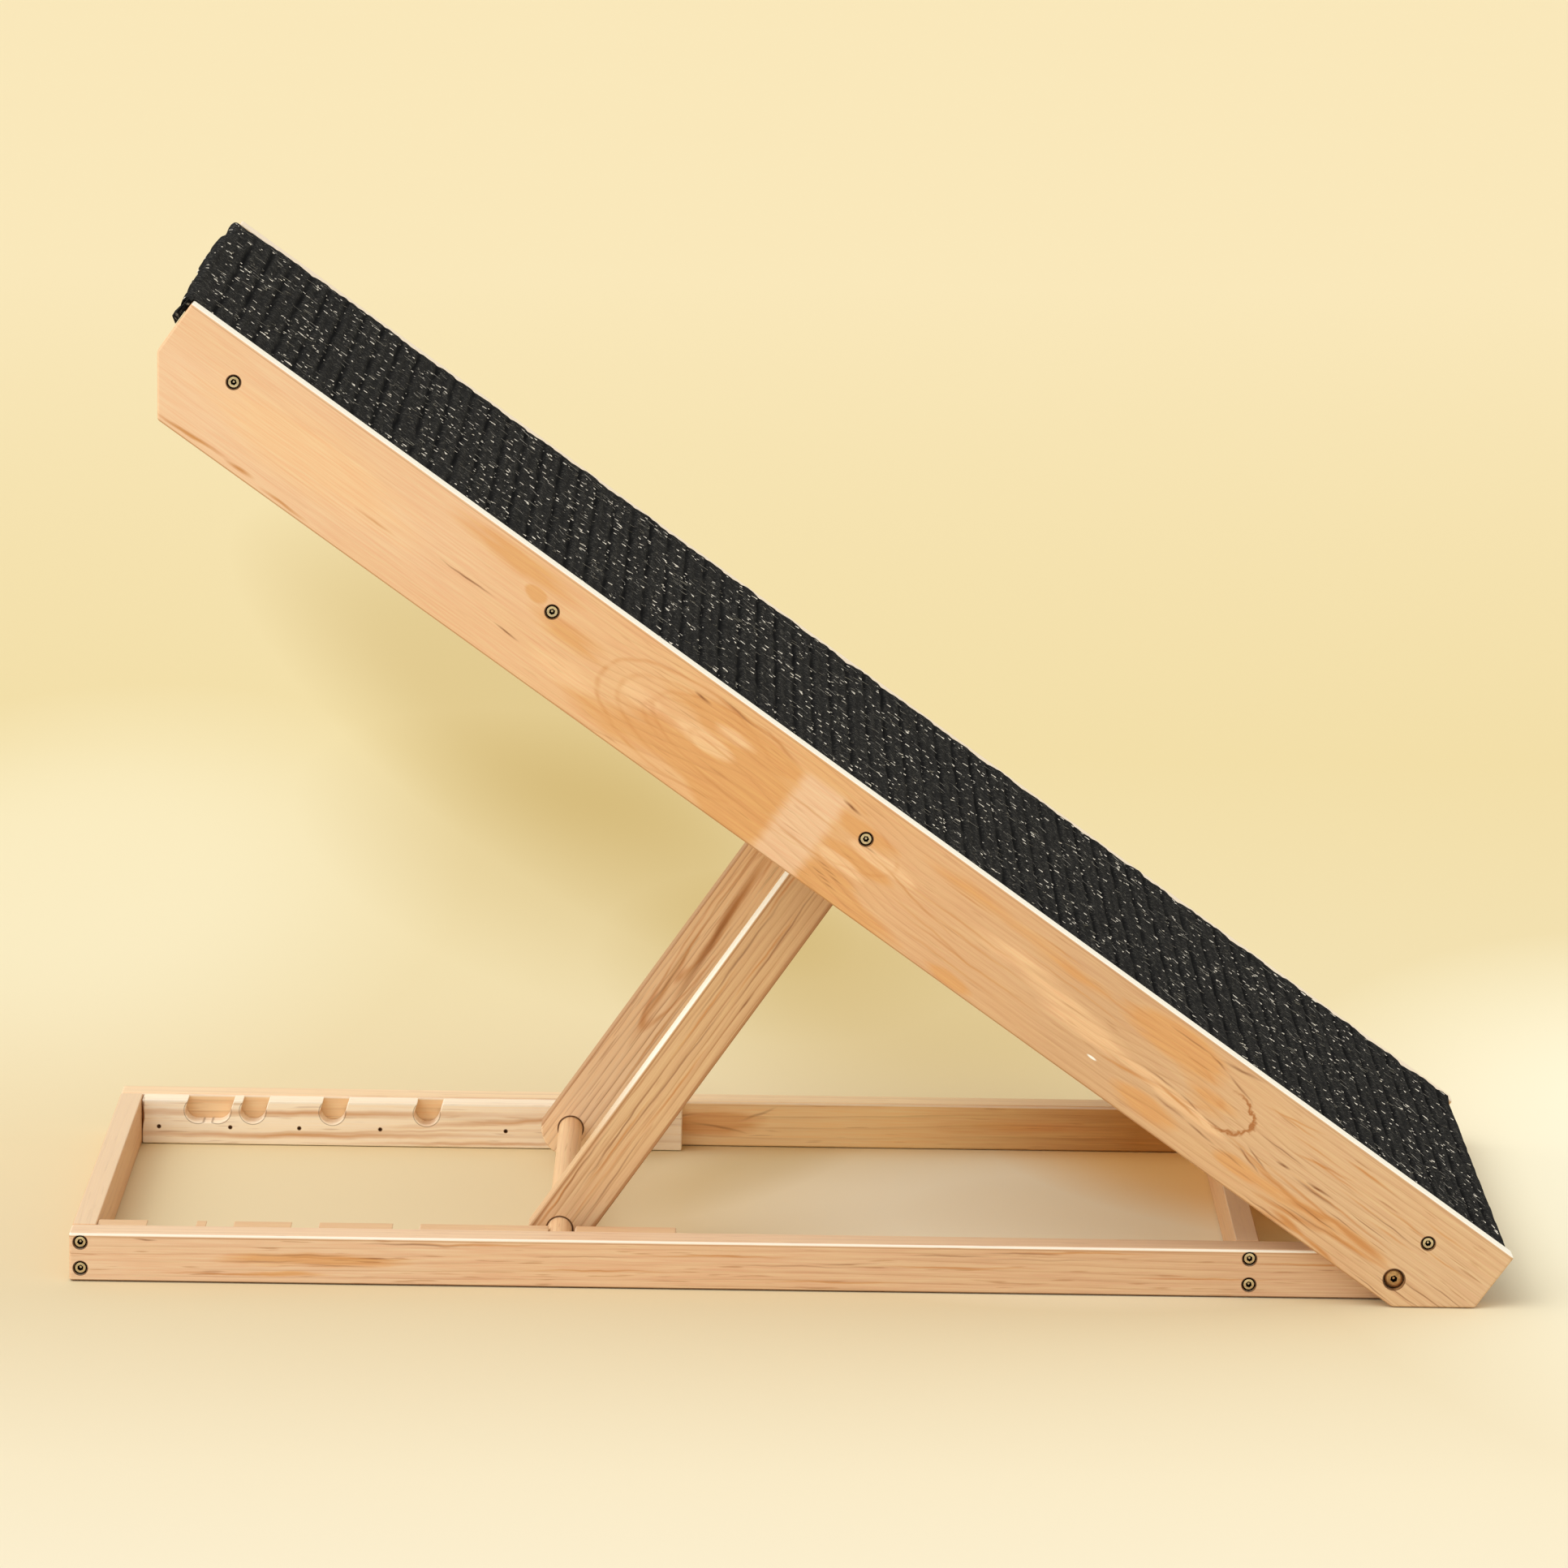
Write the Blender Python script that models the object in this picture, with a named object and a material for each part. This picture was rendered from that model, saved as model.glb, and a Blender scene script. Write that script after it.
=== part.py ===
# Adjustable wooden pet ramp: a carpeted deck between two side rails, hinged to a
# low base frame and propped by a swinging leg frame whose dowel sits in a notch.
# Metres. +X points to the low end of the ramp, +Z is up, and the origin is on the
# floor at the middle of the whole ramp. Left and right are as seen walking up it:
# left is -Y.
import math

import bmesh
import bpy
from mathutils import Matrix, Vector

# Clearances between pieces
SEAT_GAP = 0.0003          # between pieces that touch
SHANK_GAP = 0.0003         # round a shank or dowel in its hole
SIDE_GAP = 0.0020          # between the base frame and the side rails

# The carpeted deck, measured along the slope from its top end (u)
# and square to it from the side rails' top edge (v)
TILT = math.radians(35.5)
RAMP_WIDTH = 0.400
RAIL_LENGTH = 1.000
RAIL_HEIGHT = 0.070
RAIL_THICK = 0.015
HEAD_CUT_V = 0.036         # where the plumb cut starts on the top end
TOE_CUT_BACK = 0.042       # length cut from the lower edge to stand on the floor
HINGE_FROM_TOE = 0.0515
HINGE_V = 0.055
CARPET_THICK = 0.0028
CARPET_END = 0.005         # bare rail beyond the carpet at the toe
CARPET_TUCK = 0.034        # carpet folded under the top end of the board
BOARD_THICK = 0.0036
BOARD_END = 0.007
BATTEN_THICK = 0.016
BATTEN_HEIGHT = 0.032
BATTEN_TOP_U = 0.0478
BATTEN_MID_U = 0.284
BATTEN_TOE_U = 0.0485      # from the toe
RAIL_SCREW_V = 0.0242
HOUSING_WIDTH = 0.0215     # relief in the middle batten for the folded legs
HOUSING_V = 0.0230

# The prop: two legs on an upper and a lower dowel
PROP_U = 0.5205
PROP_V = 0.0247
PROP_LENGTH = 0.3263
LEG_WIDTH = 0.035
LEG_THICK = 0.0145
LEG_FOOT_RADIUS = 0.0195
LEG_INSET = 0.018          # from the notched strip to the leg
AXLE_DIAMETER = 0.016
DOWEL_DIAMETER = 0.0156
DOWEL_END_GAP = 0.001

# The base frame
BASE_REACH = 0.819         # from the hinge to the far end of the base
BASE_HEIGHT = 0.031
BASE_RAIL_THICK = 0.020
BASE_BAR_THICK = 0.015
CROSS_BAR_FROM_HINGE = 0.0882
STRIP_THICK = 0.0135
STRIP_HEIGHT = 0.0305
STRIP_LENGTH = 0.360
NOTCH_SEAT_Z = 0.023
NOTCH_LEAN = math.radians(18.0)
LOWER_TILTS = (26.8, 19.1, 9.3)   # degrees, one for each further notch
STORE_NOTCH_LENGTH = 0.0135
STORE_NOTCH_SHIFT = 0.0067

# Fasteners
SCREW_LENGTH = 0.042
SCREW_HEAD_DIAMETER = 0.0077
SCREW_HEAD_THICK = 0.0036
SCREW_SHANK_DIAMETER = 0.0042
SCREW_SINK = 0.0007
SCREW_POCKET_GAP = 0.0004
SCREW_SOCKET_WIDTH = 0.0036
SCREW_SOCKET_DEPTH = 0.0022
BASE_SCREW_INSET = 0.0068  # from the end of the base
BASE_SCREW_HEIGHTS = (0.0082, 0.0248)
BOLT_HEAD_DIAMETER = 0.0118
BOLT_HEAD_THICK = 0.0042
BOLT_SHANK_DIAMETER = 0.006
BOLT_SINK = 0.0012
BOLT_POCKET_GAP = 0.0007
BOLT_TIP_INSET = 0.003     # from the inner face of the base rail
INSERT_DIAMETER = 0.010
INSERT_LENGTH = 0.013
WASHER_DIAMETER = 0.018
BRAD_DIAMETER = 0.0016
BRAD_LENGTH = 0.026
BRAD_HEIGHT = 0.0118
BRAD_PLACES = (0.0112, 0.0587, 0.1047, 0.1587, 0.2424)  # along the strip

# Finish
EDGE_ROUND = 0.0015
SMALL_EDGE_ROUND = 0.0010
ROUND_SIDES = 24
SCREW_SIDES = 16
BRAD_SIDES = 8
ARC_STEPS = 10
CUT_MARGIN = 0.002

# Worked out from the sizes above
HALF_WIDTH = RAMP_WIDTH / 2
RAIL_INNER_Y = HALF_WIDTH - RAIL_THICK
HINGE_U = RAIL_LENGTH - HINGE_FROM_TOE
TOE_CUT_U = RAIL_LENGTH - TOE_CUT_BACK
HINGE_Z = (TOE_CUT_U - HINGE_U) * math.sin(TILT) + (RAIL_HEIGHT - HINGE_V) * math.cos(TILT)
TOE_REACH = HINGE_FROM_TOE * math.cos(TILT) + HINGE_V * math.sin(TILT)
HINGE_X = (BASE_REACH - TOE_REACH) / 2
BASE_END_X = HINGE_X - BASE_REACH
BOARD_TOP_V = CARPET_THICK + SEAT_GAP
BOARD_UNDER_V = BOARD_TOP_V + BOARD_THICK
BATTEN_V = BOARD_UNDER_V + SEAT_GAP
BASE_OUTER_Y = RAIL_INNER_Y - SIDE_GAP
BASE_INNER_Y = BASE_OUTER_Y - BASE_RAIL_THICK
STRIP_OUTER_Y = BASE_INNER_Y - SEAT_GAP
STRIP_INNER_Y = STRIP_OUTER_Y - STRIP_THICK
LEG_OUTER_Y = STRIP_INNER_Y - LEG_INSET
LEG_INNER_Y = LEG_OUTER_Y - LEG_THICK
STRIP_START_X = BASE_END_X + BASE_BAR_THICK + SEAT_GAP
NOTCH_RADIUS = DOWEL_DIAMETER / 2 + SEAT_GAP

SIDES = {"left": -1, "right": 1}


def prop_top(tilt):
    """Place of the prop's axle in X and Z with the deck at a tilt."""
    along = PROP_U - HINGE_U
    down = PROP_V - HINGE_V
    x = HINGE_X + along * math.cos(tilt) - down * math.sin(tilt)
    z = HINGE_Z - along * math.sin(tilt) - down * math.cos(tilt)
    return x, z


def prop_foot_x(tilt):
    """Where the lower dowel sits in a notch with the deck at a tilt."""
    x, z = prop_top(tilt)
    return x - math.sqrt(PROP_LENGTH ** 2 - (z - NOTCH_SEAT_Z) ** 2)


def clear_scene():
    for obj in list(bpy.data.objects):
        bpy.data.objects.remove(obj, do_unlink=True)


def material(name, colour, roughness, metallic=0.0):
    mat = bpy.data.materials.new(name)
    mat.use_nodes = True
    shader = mat.node_tree.nodes["Principled BSDF"]
    shader.inputs["Base Color"].default_value = (*colour, 1.0)
    shader.inputs["Roughness"].default_value = roughness
    shader.inputs["Metallic"].default_value = metallic
    return mat


def add_object(name, bm, parent=None, mat=None, smooth=False):
    """Make an object of a bmesh, with its faces pointing out."""
    bmesh.ops.remove_doubles(bm, verts=bm.verts, dist=1e-6)
    bmesh.ops.recalc_face_normals(bm, faces=bm.faces)
    mesh = bpy.data.meshes.new(name)
    bm.to_mesh(mesh)
    bm.free()
    if smooth:
        mesh.shade_smooth()
        mesh.set_sharp_from_angle(angle=math.radians(35))
    obj = bpy.data.objects.new(name, mesh)
    bpy.context.scene.collection.objects.link(obj)
    obj.parent = parent
    if mat:
        mesh.materials.append(mat)
    return obj


def add_frame(name, location, angle):
    """An empty on a joint's axis, turned about Y."""
    frame = bpy.data.objects.new(name, None)
    frame.location = location
    frame.rotation_euler = (0.0, angle, 0.0)
    bpy.context.scene.collection.objects.link(frame)
    return frame


def extruded(points, y_from, y_to):
    """A closed outline in X and Z, extruded along Y."""
    bm = bmesh.new()
    verts = [bm.verts.new((x, y_from, z)) for x, z in points]
    face = bm.faces.new(verts)
    grown = bmesh.ops.extrude_face_region(bm, geom=[face])
    moved = [v for v in grown["geom"] if isinstance(v, bmesh.types.BMVert)]
    bmesh.ops.translate(bm, verts=moved, vec=(0.0, y_to - y_from, 0.0))
    return bm


def block(x_range, y_range, z_range):
    size = [high - low for low, high in (x_range, y_range, z_range)]
    middle = [(high + low) / 2 for low, high in (x_range, y_range, z_range)]
    bm = bmesh.new()
    bmesh.ops.create_cube(bm, size=1.0)
    bmesh.ops.scale(bm, vec=size, verts=bm.verts)
    bmesh.ops.translate(bm, vec=middle, verts=bm.verts)
    return bm


def turned(profile, sides):
    """A profile of (depth, radius) points turned about the Y axis."""
    bm = bmesh.new()
    verts = [bm.verts.new((radius, depth, 0.0)) for depth, radius in profile]
    edges = [bm.edges.new(pair) for pair in zip(verts, verts[1:])]
    bmesh.ops.spin(bm, geom=verts + edges, cent=(0, 0, 0), axis=(0, 1, 0),
                   angle=2 * math.pi, steps=sides, use_merge=True)
    return bm


def arc(centre, radius, start, end, steps=ARC_STEPS):
    """Points of an arc in X and Z, with both its ends."""
    points = []
    for i in range(steps + 1):
        a = start + (end - start) * i / steps
        points.append((centre[0] + radius * math.cos(a), centre[1] + radius * math.sin(a)))
    return points


def round_edges(obj, width=EDGE_ROUND):
    bevel = obj.modifiers.new("rounded_edges", "BEVEL")
    bevel.width = width
    bevel.segments = 1
    bevel.limit_method = "ANGLE"
    bevel.angle_limit = math.radians(40)


def cut(obj, *cutters):
    for cutter in cutters:
        boolean = obj.modifiers.new("cut_" + cutter.name, "BOOLEAN")
        boolean.operation = "DIFFERENCE"
        boolean.solver = "EXACT"
        boolean.object = cutter


def as_cutter(obj):
    obj.hide_render = True
    obj.display_type = "WIRE"
    return obj


def place_on_axis(obj, x, y, z, side):
    """Stand a turned piece on a side of the ramp, its depth going inwards."""
    obj.location = (x, y * side, z)
    if side > 0:
        obj.rotation_euler = (0.0, 0.0, math.pi)


def deck_point(u, v):
    """A place on the deck in the deck frame's X and Z."""
    return u - HINGE_U, HINGE_V - v


def screw_profile():
    head = SCREW_HEAD_DIAMETER / 2
    shank = SCREW_SHANK_DIAMETER / 2
    under_head = SCREW_SINK + SCREW_HEAD_THICK
    return [(SCREW_SINK, 0.0), (SCREW_SINK, head * 0.82), (SCREW_SINK + head * 0.15, head),
            (under_head - head * 0.3, head), (under_head, shank),
            (SCREW_LENGTH - shank, shank), (SCREW_LENGTH, 0.0)]


def screw_bore_profile():
    pocket = SCREW_HEAD_DIAMETER / 2 + SCREW_POCKET_GAP
    hole = SCREW_SHANK_DIAMETER / 2 + SHANK_GAP
    floor = SCREW_SINK + SCREW_HEAD_THICK + SEAT_GAP
    return [(-CUT_MARGIN, 0.0), (-CUT_MARGIN, pocket), (floor, pocket), (floor, hole),
            (SCREW_LENGTH + SEAT_GAP, hole), (SCREW_LENGTH + SEAT_GAP, 0.0)]


def bolt_profile():
    head = BOLT_HEAD_DIAMETER / 2
    shank = BOLT_SHANK_DIAMETER / 2
    under_head = BOLT_SINK + BOLT_HEAD_THICK
    tip = HALF_WIDTH - BASE_INNER_Y - BOLT_TIP_INSET
    dome = [(BOLT_SINK + 0.5 * BOLT_HEAD_THICK * (1 - math.cos(a)), head * math.sin(a))
            for a in (0.0, math.radians(30), math.radians(60), math.radians(90))]
    return dome + [(under_head, head), (under_head, shank), (tip, shank), (tip, 0.0)]


def bolt_bore_profile():
    pocket = BOLT_HEAD_DIAMETER / 2 + BOLT_POCKET_GAP
    hole = BOLT_SHANK_DIAMETER / 2 + SHANK_GAP
    floor = BOLT_SINK + BOLT_HEAD_THICK + SEAT_GAP
    end = HALF_WIDTH - BASE_INNER_Y + CUT_MARGIN
    return [(-CUT_MARGIN, 0.0), (-CUT_MARGIN, pocket), (floor, pocket), (floor, hole),
            (end, hole), (end, 0.0)]


def baked_mesh(obj):
    """The mesh of an object with its modifiers applied."""
    graph = bpy.context.evaluated_depsgraph_get()
    return bpy.data.meshes.new_from_object(obj.evaluated_get(graph))


def socket_head_mesh(name, profile, sides, sink, mat):
    """A turned fastener with a hexagon socket in its head."""
    body = add_object(name, turned(profile, sides), mat=mat, smooth=True)
    socket = bmesh.new()
    bmesh.ops.create_cone(socket, cap_ends=True, segments=6,
                          radius1=SCREW_SOCKET_WIDTH / 2, radius2=SCREW_SOCKET_WIDTH / 2,
                          depth=2 * SCREW_SOCKET_DEPTH,
                          matrix=Matrix.Rotation(math.pi / 2, 4, "X"))
    bmesh.ops.translate(socket, vec=(0, sink, 0), verts=socket.verts)
    tool = as_cutter(add_object(name + "_socket", socket))
    cut(body, tool)
    mesh = baked_mesh(body)
    mesh.name = name
    for obj in (body, tool):
        bpy.data.objects.remove(obj, do_unlink=True)
    return mesh


def fastener(name, mesh, x, y, z, side, parent=None):
    obj = bpy.data.objects.new(name, mesh)
    bpy.context.scene.collection.objects.link(obj)
    obj.parent = parent
    place_on_axis(obj, x, y, z, side)
    return obj


def bore(name, profile, x, y, z, side, parent=None, sides=SCREW_SIDES):
    obj = as_cutter(add_object(name, turned(profile, sides), parent=parent))
    place_on_axis(obj, x, y, z, side)
    return obj


def rail_outline():
    head_run = (RAIL_HEIGHT - HEAD_CUT_V) * math.tan(TILT)
    toe_rise = TOE_CUT_BACK * math.tan(TILT)
    corners = [(0.0, 0.0), (0.0, HEAD_CUT_V), (head_run, RAIL_HEIGHT),
               (TOE_CUT_U, RAIL_HEIGHT), (RAIL_LENGTH, RAIL_HEIGHT - toe_rise),
               (RAIL_LENGTH, 0.0)]
    return [deck_point(u, v) for u, v in corners]


def make_side_rails(deck, mat, tools):
    for side, sign in SIDES.items():
        bm = extruded(rail_outline(), sign * RAIL_INNER_Y, sign * HALF_WIDTH)
        rail = add_object("side_rail_" + side, bm, deck, mat)
        round_edges(rail)
        cut(rail, *tools["rail_" + side], tools["hinge_" + side])


def make_deck_board(deck, mat):
    x0, z1 = deck_point(0.0, BOARD_TOP_V)
    x1, z0 = deck_point(RAIL_LENGTH - BOARD_END, BOARD_UNDER_V)
    half = RAIL_INNER_Y - SEAT_GAP
    add_object("deck_board", block((x0, x1), (-half, half), (z0, z1)), deck, mat)


def carpet_outline():
    """Carpet on the board, rolled over its top end and tucked under it."""
    inner = BOARD_THICK / 2 + SEAT_GAP
    outer = inner + CARPET_THICK
    centre = deck_point(0.0, BOARD_TOP_V + BOARD_THICK / 2)
    toe = deck_point(RAIL_LENGTH - CARPET_END, 0.0)[0]
    tuck = deck_point(CARPET_TUCK, 0.0)[0]
    outside = arc(centre, outer, math.pi / 2, 3 * math.pi / 2)
    inside = arc(centre, inner, 3 * math.pi / 2, math.pi / 2)
    return [(toe, centre[1] + outer)] + outside + \
        [(tuck, centre[1] - outer), (tuck, centre[1] - inner)] + inside + \
        [(toe, centre[1] + inner)]


def make_carpet(deck, mat):
    half = RAIL_INNER_Y - 2 * SEAT_GAP
    add_object("carpet", extruded(carpet_outline(), -half, half), deck, mat)


def make_battens(deck, mat, tools):
    places = {"batten_top": BATTEN_TOP_U, "batten_middle": BATTEN_MID_U,
              "batten_toe": RAIL_LENGTH - BATTEN_TOE_U}
    half = RAIL_INNER_Y - SEAT_GAP
    for name, u in places.items():
        x, z1 = deck_point(u, BATTEN_V)
        bm = block((x - BATTEN_THICK / 2, x + BATTEN_THICK / 2), (-half, half),
                   (z1 - BATTEN_HEIGHT, z1))
        batten = add_object(name, bm, deck, mat)
        round_edges(batten, SMALL_EDGE_ROUND)
        if name == "batten_middle":
            cut(batten, *leg_housings(deck, x, z1 - BATTEN_HEIGHT))
        screws = {"batten_top": 0, "batten_middle": 1, "batten_toe": 3}[name]
        cut(batten, tools["rail_left"][screws], tools["rail_right"][screws])


def leg_housings(deck, x, z_low):
    """Reliefs that let the folded legs lie past the middle batten."""
    cutters = []
    z_roof = deck_point(0.0, HOUSING_V)[1]
    leg_middle = (LEG_OUTER_Y + LEG_INNER_Y) / 2
    for side, sign in SIDES.items():
        y = sign * leg_middle
        bm = block((x - BATTEN_THICK, x + BATTEN_THICK),
                   (y - HOUSING_WIDTH / 2, y + HOUSING_WIDTH / 2),
                   (z_low - CUT_MARGIN, z_roof))
        cutters.append(as_cutter(add_object("leg_housing_" + side, bm, deck)))
    return cutters


def leg_outline():
    """A prop leg hanging from its axle at the origin of the prop frame."""
    half = LEG_WIDTH / 2
    corner = math.acos(half / LEG_FOOT_RADIUS)
    top = arc((0.0, 0.0), half, 0.0, math.pi)
    foot = arc((0.0, -PROP_LENGTH), LEG_FOOT_RADIUS, math.pi + corner, 2 * math.pi - corner)
    return top + foot


def make_prop(prop, mat, tools):
    dowels = {"axle": (0.0, AXLE_DIAMETER, RAIL_INNER_Y - SEAT_GAP),
              "dowel": (-PROP_LENGTH, DOWEL_DIAMETER, BASE_INNER_Y - DOWEL_END_GAP)}
    holes = []
    for name, (z, diameter, half) in dowels.items():
        rod = turned([(-half, 0.0), (-half, diameter / 2), (half, diameter / 2), (half, 0.0)],
                     ROUND_SIDES)
        bmesh.ops.translate(rod, vec=(0, 0, z), verts=rod.verts)
        obj = add_object("prop_" + name, rod, prop, mat, smooth=True)
        if name == "axle":
            cut(obj, tools["axle_left"], tools["axle_right"])
        radius = diameter / 2 + SHANK_GAP
        hole = turned([(-half, 0.0), (-half, radius), (half, radius), (half, 0.0)], ROUND_SIDES)
        bmesh.ops.translate(hole, vec=(0, 0, z), verts=hole.verts)
        holes.append(as_cutter(add_object("prop_hole_" + name, hole, prop)))
    for side, sign in SIDES.items():
        bm = extruded(leg_outline(), sign * LEG_INNER_Y, sign * LEG_OUTER_Y)
        leg = add_object("prop_leg_" + side, bm, prop, mat)
        round_edges(leg, SMALL_EDGE_ROUND)
        cut(leg, *holes)


def base_rail_outline():
    """Side of a base rail, with its end rounded about the hinge."""
    radius = BASE_HEIGHT - HINGE_Z
    nose = arc((HINGE_X, HINGE_Z), radius, -math.radians(70), math.pi / 2)
    return [(BASE_END_X, 0.0), (nose[0][0] - radius * 0.2, 0.0)] + nose + [(BASE_END_X, BASE_HEIGHT)]


def make_base_frame(mat, tools):
    for side, sign in SIDES.items():
        bm = extruded(base_rail_outline(), sign * BASE_INNER_Y, sign * BASE_OUTER_Y)
        rail = add_object("base_rail_" + side, bm, None, mat)
        round_edges(rail)
        cut(rail, *tools["base_" + side], *tools["brad_" + side], tools["insert_" + side])
    bars = {"base_end_bar": BASE_END_X + BASE_BAR_THICK / 2,
            "base_cross_bar": HINGE_X - CROSS_BAR_FROM_HINGE}
    half = BASE_INNER_Y - SEAT_GAP
    for i, (name, x) in enumerate(bars.items()):
        bm = block((x - BASE_BAR_THICK / 2, x + BASE_BAR_THICK / 2), (-half, half),
                   (0.0, BASE_HEIGHT))
        bar = add_object(name, bm, None, mat)
        round_edges(bar, SMALL_EDGE_ROUND)
        cut(bar, *tools["base_left"][2 * i:2 * i + 2], *tools["base_right"][2 * i:2 * i + 2])


def notch_outline(x, run):
    """A leaning U notch, with its seat centred at x and run metres long."""
    lean = Vector((math.sin(NOTCH_LEAN), math.cos(NOTCH_LEAN)))
    across = Vector((math.cos(NOTCH_LEAN), -math.sin(NOTCH_LEAN)))
    rise = (BASE_HEIGHT + CUT_MARGIN - NOTCH_SEAT_Z) / math.cos(NOTCH_LEAN) + NOTCH_RADIUS
    ends = [Vector((x - run / 2, NOTCH_SEAT_Z)), Vector((x + run / 2, NOTCH_SEAT_Z))]
    left_top = ends[0] - across * NOTCH_RADIUS + lean * rise
    right_top = ends[1] + across * NOTCH_RADIUS + lean * rise
    low = 3 * math.pi / 2
    left = arc(ends[0], NOTCH_RADIUS, math.pi - NOTCH_LEAN, low, ARC_STEPS // 2)
    right = arc(ends[1], NOTCH_RADIUS, low, 2 * math.pi - NOTCH_LEAN, ARC_STEPS // 2)
    if run == 0.0:
        right = right[1:]
    return [tuple(left_top)] + left + right + [tuple(right_top)]


def notch_places():
    """Seat centre and seat length of every notch."""
    tilts = [TILT] + [math.radians(degrees) for degrees in LOWER_TILTS]
    places = [(prop_foot_x(tilt), 0.0) for tilt in tilts]
    return places + [(prop_foot_x(0.0) - STORE_NOTCH_SHIFT, STORE_NOTCH_LENGTH)]


def make_notch_strips(mat, tools):
    for side, sign in SIDES.items():
        bm = block((STRIP_START_X, STRIP_START_X + STRIP_LENGTH),
                   sorted((sign * STRIP_INNER_Y, sign * STRIP_OUTER_Y)), (0.0, STRIP_HEIGHT))
        strip = add_object("notch_strip_" + side, bm, None, mat)
        round_edges(strip, SMALL_EDGE_ROUND)
        for i, (x, run) in enumerate(notch_places()):
            shape = extruded(notch_outline(x, run), sign * (STRIP_INNER_Y - CUT_MARGIN),
                             sign * (STRIP_OUTER_Y + CUT_MARGIN))
            cut(strip, as_cutter(add_object(f"notch_{side}_{i + 1}", shape)))
        cut(strip, *tools["brad_" + side])


def make_rail_screws(deck, mesh, tools):
    """Screws through the side rails into the battens and the prop's axle."""
    places = ((BATTEN_TOP_U, RAIL_SCREW_V), (BATTEN_MID_U, RAIL_SCREW_V), (PROP_U, PROP_V),
              (RAIL_LENGTH - BATTEN_TOE_U, RAIL_SCREW_V))
    for side, sign in SIDES.items():
        cutters = []
        for i, place in enumerate(places):
            x, z = deck_point(*place)
            fastener(f"rail_screw_{side}_{i + 1}", mesh, x, HALF_WIDTH, z, sign, deck)
            cutters.append(bore(f"rail_bore_{side}_{i + 1}", screw_bore_profile(),
                                x, HALF_WIDTH, z, sign, deck))
        tools["rail_" + side] = cutters
        tools["axle_" + side] = cutters[2]


def make_base_screws(mesh, tools):
    """Screws through the base rails into the ends of its two bars."""
    places = (BASE_END_X + BASE_SCREW_INSET, HINGE_X - CROSS_BAR_FROM_HINGE)
    for side, sign in SIDES.items():
        cutters = []
        for i, x in enumerate(places):
            for j, z in enumerate(BASE_SCREW_HEIGHTS):
                name = f"{side}_{2 * i + j + 1}"
                fastener("base_screw_" + name, mesh, x, BASE_OUTER_Y, z, sign)
                cutters.append(bore("base_bore_" + name, screw_bore_profile(),
                                    x, BASE_OUTER_Y, z, sign))
        tools["base_" + side] = cutters


def make_hinge(deck, mat, tools):
    """A bolt through each side rail, a washer, and a threaded insert in the base rail."""
    for side, sign in SIDES.items():
        mesh = socket_head_mesh("hinge_bolt_" + side, bolt_profile(), ROUND_SIDES,
                                BOLT_SINK, mat)
        fastener("hinge_bolt_" + side, mesh, 0.0, HALF_WIDTH, 0.0, sign, deck)
        tools["hinge_" + side] = bore("hinge_bore_" + side, bolt_bore_profile(),
                                      0.0, HALF_WIDTH, 0.0, sign, deck, ROUND_SIDES)
        hole = BOLT_SHANK_DIAMETER / 2 + SHANK_GAP
        make_ring("hinge_washer_" + side, deck, mat, 0.0, RAIL_INNER_Y, 0.0, sign,
                  WASHER_DIAMETER / 2, hole, SEAT_GAP, SIDE_GAP - SEAT_GAP)
        make_ring("hinge_insert_" + side, None, mat, HINGE_X, BASE_OUTER_Y, HINGE_Z, sign,
                  INSERT_DIAMETER / 2, hole, SEAT_GAP, INSERT_LENGTH)
        seat = INSERT_DIAMETER / 2 + SHANK_GAP
        floor = INSERT_LENGTH + SEAT_GAP
        through = BASE_RAIL_THICK + CUT_MARGIN
        tools["insert_" + side] = bore(
            "insert_bore_" + side,
            [(-CUT_MARGIN, 0.0), (-CUT_MARGIN, seat), (floor, seat), (floor, hole),
             (through, hole), (through, 0.0)], HINGE_X, BASE_OUTER_Y, HINGE_Z, sign,
            sides=ROUND_SIDES)


def make_ring(name, parent, mat, x, y, z, side, outer, inner, start, end):
    """A ring about the Y axis, from start to end metres deep."""
    bm = turned([(start, inner), (start, outer), (end, outer), (end, inner), (start, inner)],
                ROUND_SIDES)
    obj = add_object(name, bm, parent, mat, smooth=True)
    place_on_axis(obj, x, y, z, side)


def make_brads(mat, tools):
    """Brads that hold each notched strip to its base rail."""
    radius = BRAD_DIAMETER / 2
    hole = radius + SHANK_GAP
    end = BRAD_LENGTH + SEAT_GAP
    for side, sign in SIDES.items():
        cutters = []
        for i, place in enumerate(BRAD_PLACES):
            x = STRIP_START_X + place
            # the brad goes outwards, so its depth runs the other way
            profile = [(0.0, 0.0), (0.0, radius), (BRAD_LENGTH, radius), (BRAD_LENGTH, 0.0)]
            brad = add_object(f"brad_{side}_{i + 1}", turned(profile, BRAD_SIDES), None, mat)
            place_on_axis(brad, x, -STRIP_INNER_Y, BRAD_HEIGHT, -sign)
            tool = bore(f"brad_bore_{side}_{i + 1}",
                        [(-CUT_MARGIN, 0.0), (-CUT_MARGIN, hole), (end, hole), (end, 0.0)],
                        x, -STRIP_INNER_Y, BRAD_HEIGHT, -sign, sides=BRAD_SIDES)
            cutters.append(tool)
        tools["brad_" + side] = cutters


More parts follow.
